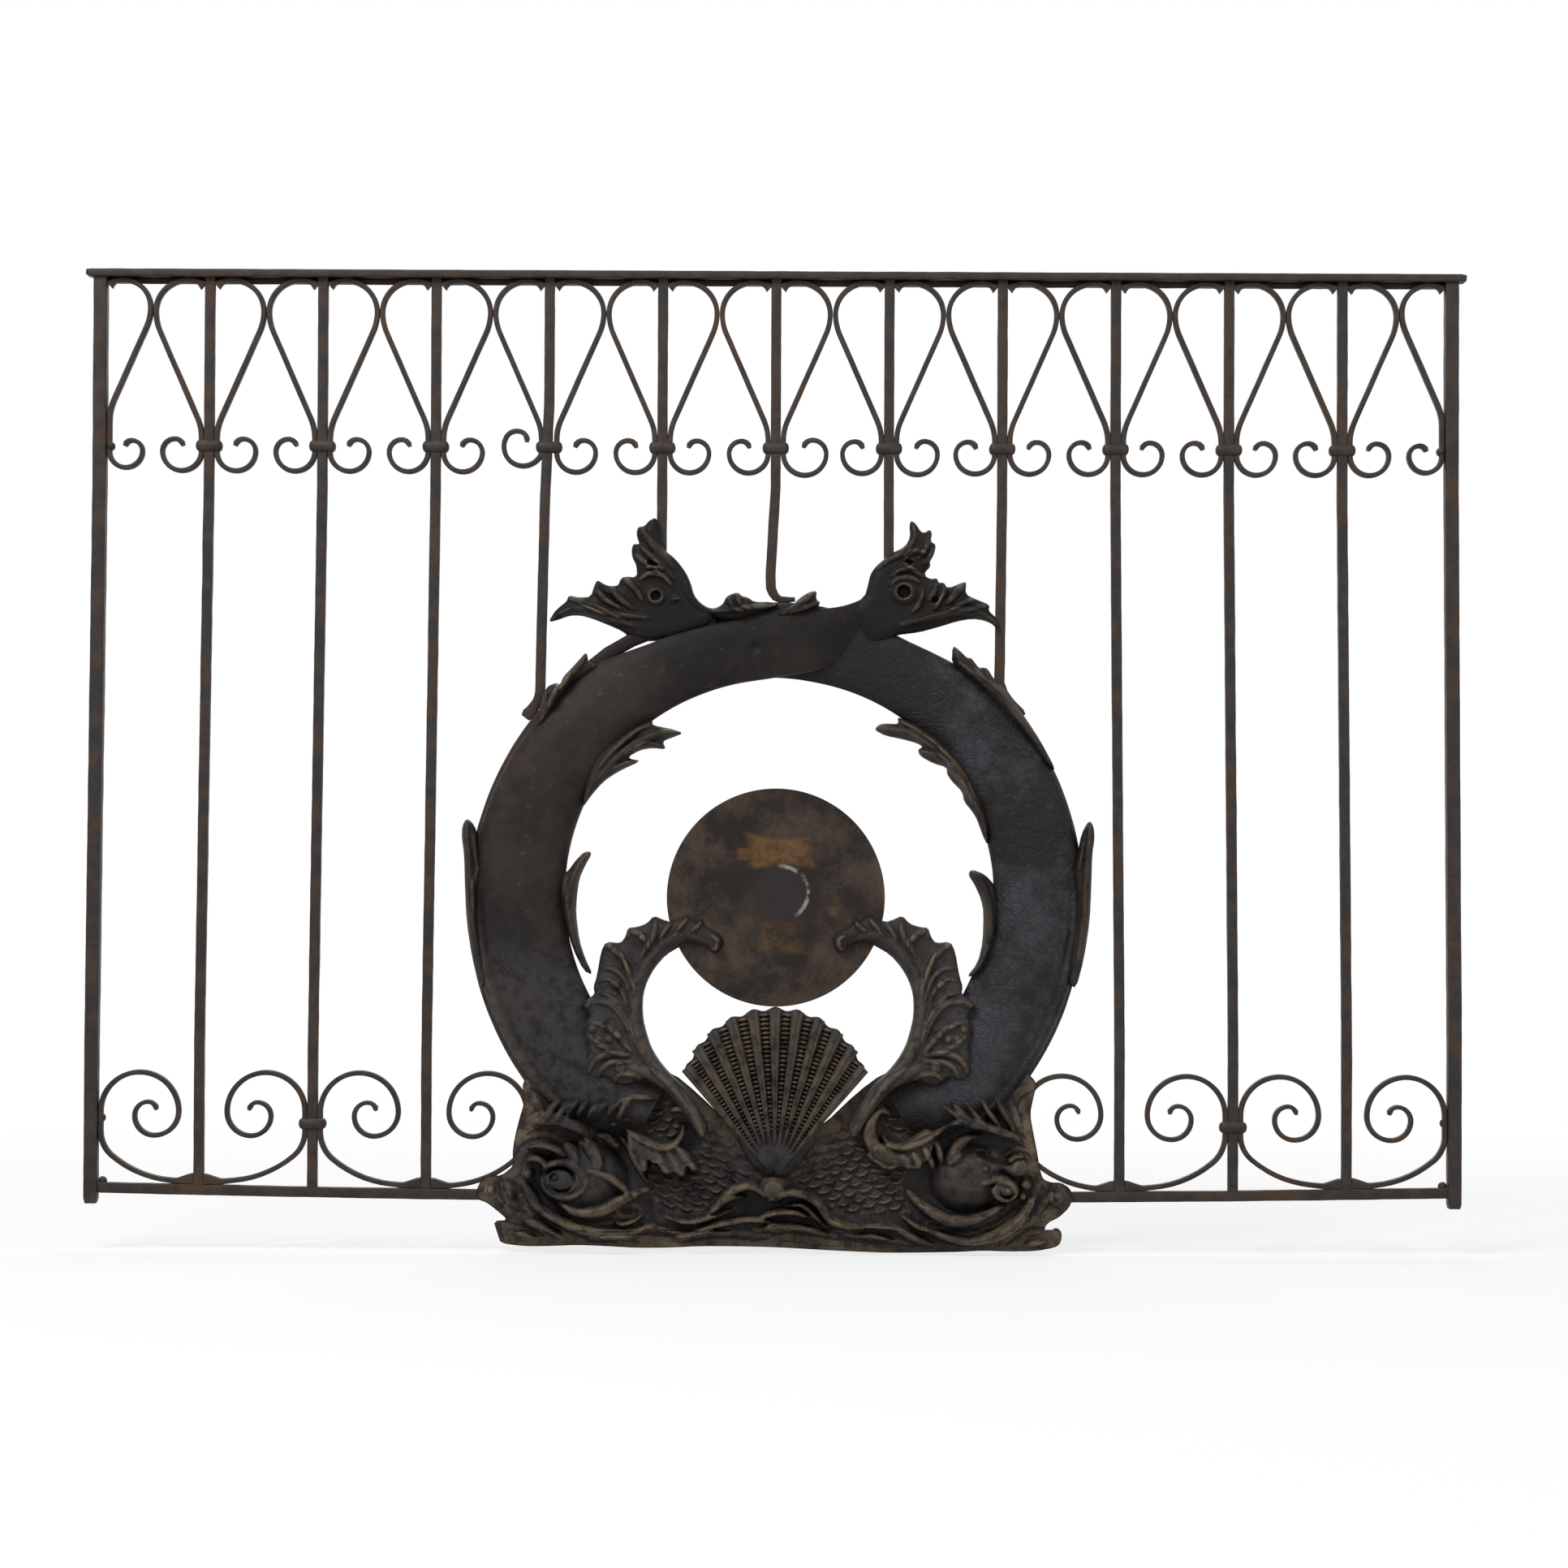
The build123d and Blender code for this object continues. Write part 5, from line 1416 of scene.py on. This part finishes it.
# leaves and spikes along both edges of the ring: outline, veins, height of the rim
leafy = {"swell": 9.0, "edge": 9.0, "carved": 1.3, "rubbing": 0.62}
leftLeaves = [
    ([(723, 804), (725, 816), (740, 820), (728, 829), (702, 842), (690, 861), (680, 876),
      (670, 894), (661, 898), (663, 885), (667, 868), (671, 854), (676, 846), (686, 842),
      (691, 845), (695, 834), (703, 826), (715, 813)],
     [([(722, 806), (716, 820), (700, 836), (684, 858), (668, 888)], 5, 5),
      ([(687, 844), (684, 856), (676, 872)], 4, 4), ([(704, 828), (698, 840), (690, 850)], 4, 4),
      ([(674, 850), (672, 864), (668, 880)], 4, 4)], 12),
    ([(804, 888), (804, 894), (818, 897), (829, 899), (842, 904), (829, 909), (816, 914),
      (821, 924), (803, 922), (788, 925), (774, 933), (778, 936), (790, 938), (762, 951),
      (744, 963), (729, 980), (718, 996), (722, 968), (730, 945), (738, 932), (755, 916),
      (773, 903), (790, 893)],
     [([(838, 904), (815, 905), (790, 914), (760, 936), (738, 962)], 6, 6),
      ([(818, 921), (796, 919), (772, 930)], 5, 5),
      ([(803, 893), (782, 904), (758, 924), (738, 948)], 5, 5),
      ([(788, 938), (764, 946), (742, 964)], 5, 5), ([(795, 898), (776, 914), (762, 926)], 3, -3)],
     16),
    ([(727, 1049), (729, 1053), (721, 1067), (714, 1083), (711, 1105), (710, 1126), (714, 1158),
      (721, 1180), (731, 1201), (720, 1196), (706, 1168), (696, 1132), (690, 1099), (692, 1078),
      (700, 1074), (710, 1060), (720, 1050)],
     [([(726, 1051), (714, 1068), (706, 1090), (703, 1120), (709, 1156), (722, 1190)], 6, 6),
      ([(700, 1078), (697, 1096), (700, 1120)], 4, 4)], 10),
    ([(576, 1009), (571, 1017), (570, 1032), (573, 1051), (574, 1089), (576, 1134), (583, 1180),
      (593, 1218), (602, 1210), (598, 1170), (593, 1130), (591, 1100), (597, 1075), (590, 1050),
      (588, 1024), (582, 1013)],
     [([(576, 1012), (577, 1040), (580, 1080), (583, 1130), (592, 1190)], 6, 6),
      ([(586, 1030), (588, 1052), (590, 1072)], 4, 4),
      ([(590, 1070), (586, 1092), (586, 1120)], 4, 4)], 12),
    ([(872, 754), (890, 747), (894, 738), (899, 734), (909, 731), (914, 736), (921, 737),
      (929, 743), (950, 743), (960, 747), (940, 756), (905, 766), (882, 764)],
     [([(908, 734), (912, 746), (925, 752)], 4, 4), ([(897, 738), (904, 750), (918, 757)], 4, 4),
      ([(878, 756), (900, 754), (930, 750), (955, 748)], 4, 4)], 16),
]
rightLeaves = [
    ([(1173, 796), (1181, 802), (1191, 812), (1195, 811), (1199, 816), (1205, 824), (1211, 823),
      (1216, 825), (1223, 837), (1236, 848), (1250, 868), (1264, 888), (1281, 914), (1300, 950),
      (1290, 944), (1268, 914), (1254, 898), (1235, 876), (1216, 854), (1200, 840), (1185, 831),
      (1172, 818)],
     [([(1175, 799), (1181, 814), (1196, 828), (1220, 848), (1246, 876), (1276, 916)], 6, 6),
      ([(1196, 814), (1204, 830), (1218, 842)], 4, 4),
      ([(1214, 827), (1222, 842), (1240, 862)], 4, 4),
      ([(1176, 816), (1192, 828), (1212, 846)], 4, 4)], 12),
    ([(1077, 900), (1081, 894), (1090, 892), (1107, 893), (1105, 884), (1116, 889), (1132, 897),
      (1149, 908), (1168, 924), (1182, 940), (1195, 960), (1206, 985), (1215, 1012), (1216, 1042),
      (1210, 1030), (1203, 1010), (1197, 1000), (1187, 988), (1185, 976), (1172, 963), (1166, 954),
      (1166, 946), (1149, 941), (1133, 932), (1130, 924), (1137, 921), (1129, 916), (1110, 911),
      (1090, 907)],
     [([(1080, 899), (1104, 901), (1130, 908), (1158, 928), (1184, 958), (1204, 1000)], 6, 6),
      ([(1106, 888), (1128, 900), (1152, 916), (1178, 944), (1200, 982)], 5, 5),
      ([(1133, 926), (1150, 932), (1170, 946), (1188, 970)], 5, 5),
      ([(1169, 950), (1182, 964), (1196, 990)], 4, 5),
      ([(1112, 896), (1134, 908), (1156, 924)], 3, -3)], 16),
    ([(1196, 1071), (1192, 1078), (1200, 1090), (1208, 1108), (1211, 1124), (1210, 1160),
      (1204, 1186), (1190, 1204), (1202, 1200), (1216, 1178), (1225, 1150), (1229, 1110),
      (1224, 1090), (1212, 1077)],
     [([(1196, 1074), (1210, 1092), (1217, 1120), (1216, 1156), (1204, 1190)], 6, 6)], 10),
    (mirrored([(576, 1011), (571, 1019), (570, 1034), (573, 1053), (574, 1089), (576, 1134),
               (583, 1180), (593, 1218), (602, 1210), (598, 1170), (593, 1130), (591, 1100),
               (597, 1075), (590, 1052), (587, 1034), (583, 1022)]),
     [(mirrored([(576, 1014), (577, 1040), (580, 1080), (583, 1130), (592, 1190)]), 6, 6),
      (mirrored([(586, 1038), (588, 1056), (590, 1072)]), 4, 4)], 12),
    ([(955, 757), (975, 748), (984, 739), (996, 731), (1006, 729), (1005, 740), (1011, 744),
      (1003, 752), (985, 758), (960, 762)],
     [([(1004, 732), (992, 742), (970, 753)], 4, 4), ([(1008, 745), (992, 750), (972, 757)], 4, 4)],
     16),
]


def leaves(name, node, drawnLeaves):
    meshes = []
    for outline, strokes, base in drawnLeaves:
        leaf = Relief(outline, 1.2).domed(base, leafy["swell"], leafy["edge"])
        leaf.rubbing = leafy["rubbing"]
        meshes.append(many(leaf, strokes, leafy["carved"]).mesh(name))
    casting(name, meshes, [node])


leaves("leftLeaves", "leaves_left", leftLeaves)
leaves("rightLeaves", "leaves_right", rightLeaves)


# the shell: a fluted fan on a smooth hinge; ribs and the rungs between them follow one rule
shell = {"level": 36.0, "reach": 202.3, "droop": 33.0, "halfAngle": 40.0, "ribs": 11, "lastRib": 39.0,
         "base": 17.0, "swell": 9.0, "notch": 3.5, "flute": 2.2, "hinge": 7.0,
         "umbo": [(904, 1396), (932, 1388), (957, 1385), (982, 1388), (1009, 1396), (992, 1426),
                  (974, 1444), (956, 1450), (938, 1444), (920, 1426)]}
ribSizes = {"Count": float(shell["ribs"]), "HalfAngle": math.radians(shell["lastRib"]),
            "Reach": 0.2, "Droop": 0.163, "Hinge": 0.16, "Width": 0.0066, "Height": 0.0085,
            "Front": 0.0225, "Swell": 0.009, "Hammering": 0.0003}
rungSizes = dict(ribSizes, Count=10.0, HalfAngle=math.radians(35.1), Reach=0.194, Droop=0.14, Hinge=0.3,
                 Width=0.0068, Height=0.0055, Front=0.0205)


def shellPlace(angles, radii, high):
    a = np.radians(angles)
    return np.stack([(panel["midX"] + panel["medallion"] + radii * np.sin(a)) / 1000,
                     (panel["seatY"] - high) / 1000, (shell["level"] + radii * np.cos(a)) / 1000], -1)


def shellBase():
    # the plate under the ribs, its edge notched between them
    angles = np.linspace(-shell["halfAngle"], shell["halfAngle"], 221)[:, None]
    share = np.linspace(0.02, 1, 60)[None, :]
    step = 2 * shell["lastRib"] / (shell["ribs"] - 1)
    flute = np.cos(2 * np.pi * angles / step)
    reach = shell["reach"] - shell["droop"] * (angles / shell["lastRib"]) ** 2
    reach = reach - shell["notch"] * (1 - flute) * 0.6
    radii = reach * share
    high = shell["base"] + shell["swell"] * np.sin(np.pi * share ** 0.8) ** 0.8
    high = high + shell["flute"] * flute * eased(share, 0.18, 0.6) - 1.5 * (1 - eased(share, 0.0, 0.2))
    high = high + shell["hinge"] * np.exp(-((share - 0.12) / 0.1) ** 2)
    places = shellPlace(angles, radii, high)
    soles = shellPlace(angles, radii[:, [-1, 0]], np.zeros((len(angles), 2)))
    made = closedShell("shellFan", np.concatenate([places, soles], 1))
    keepWornAndShade(made, np.zeros(len(made.vertices)))
    return made


def fanShape(given, rung):
    # one rib, or one line of rungs, turned round the hinge
    start = given["Path"]
    count = given["Count"]
    points = start.node("GeometryNodeMeshLine", None,
                        {"Count": count, "Start Location": (0, 0, 0), "Offset": (0, 0, 0)})
    place = start.node("GeometryNodeInputIndex") / (count - 1) * 2 - 1
    reach = given["Reach"] * (1 - given["Droop"] * place * place)
    line = start.node("GeometryNodeCurvePrimitiveLine", None, {"Start": (0, 0, 0), "End": (0, 0, 1)})
    line = line.node("GeometryNodeResampleCurve", {"mode": "COUNT"},
                     {"Curve": line, "Count": 26 if rung else 36})
    along = line.node("GeometryNodeSplineParameter")
    share = given["Hinge"] + along * (1.0 - given["Hinge"])
    arch = (math.pi * share).of("SINE")
    front = given["Front"] + given["Swell"] * arch
    spot = line.vector(0.0, front * -1.0, share * given["Reach"])
    line = line.node("GeometryNodeSetPosition", None, {"Geometry": line, "Position": spot})
    if rung:
        bead = line.node("GeometryNodeMeshUVSphere", None, {"Segments": 8, "Rings": 4, "Radius": 1.0})
        size = line.vector(given["Width"] * share, given["Height"] * share, 0.0012 + 0.0009 * share)
        made = line.node("GeometryNodeInstanceOnPoints", None,
                         {"Points": line, "Instance": bead, "Scale": size})
    else:
        # a round section with eight fine ripples
        ring = line.node("GeometryNodeCurvePrimitiveCircle", {"mode": "RADIUS"},
                         {"Resolution": 32, "Radius": 1.0})
        turn = line.node("GeometryNodeInputIndex") * (2 * math.pi / 32)
        ripple = 1 + 0.1 * (turn * 8).of("COSINE")
        wide, high = given["Width"] * ripple, given["Height"] * ripple
        spot = line.vector(wide * turn.of("COSINE"), high * turn.of("SINE"), 0.0)
        ring = ring.node("GeometryNodeSetPosition", None, {"Geometry": ring, "Position": spot})
        made = line.node("GeometryNodeCurveToMesh", None,
                         {"Curve": line, "Profile Curve": ring, "Scale": share, "Fill Caps": True})
    turned = start.vector(0.0, place * given["HalfAngle"], 0.0)
    stretch = start.vector(1.0, 1.0, reach / given["Reach"])
    fan = made.node("GeometryNodeInstanceOnPoints", None,
                    {"Points": points, "Instance": made, "Rotation": turned, "Scale": stretch})
    fan = fan.node("GeometryNodeRealizeInstances", None, {0: fan})
    fan = hammered(given, fan)
    worn = fan.node("GeometryNodeStoreNamedAttribute", {"data_type": "FLOAT", "domain": "POINT"},
                    {"Geometry": fan, "Name": "worn", "Value": 1.0 if rung else 0.45})
    middle = ((panel["midX"] + panel["medallion"]) / 1000, panel["seatY"] / 1000, shell["level"] / 1000)
    return worn.node("GeometryNodeTransform", None, {"Geometry": worn, "Translation": middle})


ribTree = treeWith("shellRibs", ribSizes, lambda given: fanShape(given, False), "castIron")
rungTree = treeWith("shellRungs", ribSizes, lambda given: fanShape(given, True), "castIron")


def shellPiece():
    spot = spotsOf("hinge", [(0, 0, 0)])
    ribs = grown("shellRibs", spot, ribTree, ribSizes)
    rungs = grown("shellRungs", spot.copy(), rungTree, rungSizes)
    base = shellBase()
    umbo = Relief(shell["umbo"], 1.4, 2).domed(13.0, 9.0, 24.0).mesh("umbo", back=1.0)
    for made in (base, umbo):
        made.materials.append(materials["castIron"])
    joined("shellFan", [base, umbo, ribs, rungs], ["shell"])


shellPiece()
print("castings ready")


# every carried-over node gets its finish
def dressed():
    for name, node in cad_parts.items():
        look = "forgedIron"
        if name.startswith(("dolphin", "fin", "leaves", "shell", "wave")):
            look = "castIron"
        if name == "dolphin_right_body":
            look = "crackledPaint"
        if name == "disc":
            look = "discPlate"
        node.data.materials.clear()
        node.data.materials.append(materials[look])


dressed()
print("nodes dressed")


# the photograph's place: far off, level with the medallion, looking up a little
view = {"distance": 5.0, "aimX": 0.8276, "aimZ": 0.505, "width": 1.8804, "pitch": 0.9, "roll": 0.25,
        "sensor": 36.0}


def placeCamera():
    data = bpy.data.cameras.new("photoCamera")
    camera = bpy.data.objects.new("photoCamera", data)
    bpy.context.scene.collection.objects.link(camera)
    rise = view["distance"] * math.tan(math.radians(view["pitch"]))
    camera.location = (view["aimX"], -view["distance"], view["aimZ"] - rise)
    aim = Vector((view["aimX"], 0, view["aimZ"])) - camera.location
    camera.rotation_euler = aim.to_track_quat("-Z", "Y").to_euler()
    camera.rotation_euler.rotate_axis("Z", math.radians(view["roll"]))
    data.sensor_width = view["sensor"]
    data.lens = view["sensor"] * aim.length / view["width"]
    data.clip_end = 100.0
    bpy.context.scene.camera = camera


placeCamera()


# studio: a pale floor, soft lamps and a white surround
studio = {"floor": 0.82, "shadow": 0.3, "fade": (0.9, 2.6), "ambient": 0.3, "aim": (0.82, 0, 0.55),
          # place, size and power
          "lamps": (((-1.0, -2.8, 3.6), 1.8, 165.0), ((3.6, -3.0, 2.2), 2.2, 45.0),
                    ((0.8, 2.6, 2.8), 2.4, 60.0))}


def seen(start):
    # 1 for the rays that show the background: the camera's, and mirrors' and glass's
    rays = start.node("ShaderNodeLightPath", None, None, "Is Camera Ray")
    glossy, clear = (Sock(rays.tree, rays.out.node.outputs[name])
                     for name in ("Is Glossy Ray", "Is Transmission Ray"))
    return (rays + glossy + clear).clamped()


def makeStudio():
    low = min(cadBox[0][2], 0.0)
    bpy.ops.mesh.primitive_plane_add(size=60, location=(0.8, 0, low - 0.0005))
    floor = bpy.context.object
    floor.name = "floor"
    made, start = newMaterial("paleFloor")
    matt = start.node("ShaderNodeBsdfDiffuse", None, {"Color": (studio["floor"],) * 3 + (1,)})
    white = start.node("ShaderNodeEmission", None, {"Color": (1, 1, 1, 1), "Strength": 1.0})
    place = start.node("ShaderNodeTexCoord", None, None, "Object")
    away = place.node("ShaderNodeVectorMath", {"operation": "LENGTH"}, {0: place}, 1)
    shade = studio["shadow"] * (1 - between(away, *studio["fade"]))
    share = seen(start) * (1 - shade)
    mixed = start.node("ShaderNodeMixShader", None, {0: share, 1: matt, 2: white})
    start.node("ShaderNodeOutputMaterial", None, {"Surface": mixed})
    floor.data.materials.append(made)
    world = bpy.data.worlds.new("studio")
    bpy.context.scene.world = world
    world.use_nodes = True
    world.node_tree.nodes.clear()
    start = Sock(world.node_tree)
    strength = studio["ambient"] + seen(start) * (1 - studio["ambient"])
    sky = start.node("ShaderNodeBackground", None, {"Color": (1, 1, 1, 1), "Strength": strength})
    start.node("ShaderNodeOutputWorld", None, {"Surface": sky})
    for i, (place, size, power) in enumerate(studio["lamps"]):
        lamp = bpy.data.lights.new(f"softLamp{i}", "AREA")
        lamp.size = size
        lamp.energy = power
        made = bpy.data.objects.new(f"softLamp{i}", lamp)
        made.location = place
        aim = Vector(studio["aim"]) - Vector(place)
        made.rotation_euler = aim.to_track_quat("-Z", "Y").to_euler()
        bpy.context.scene.collection.objects.link(made)
    bpy.context.scene.view_settings.view_transform = "Standard"


makeStudio()
print("studio ready")
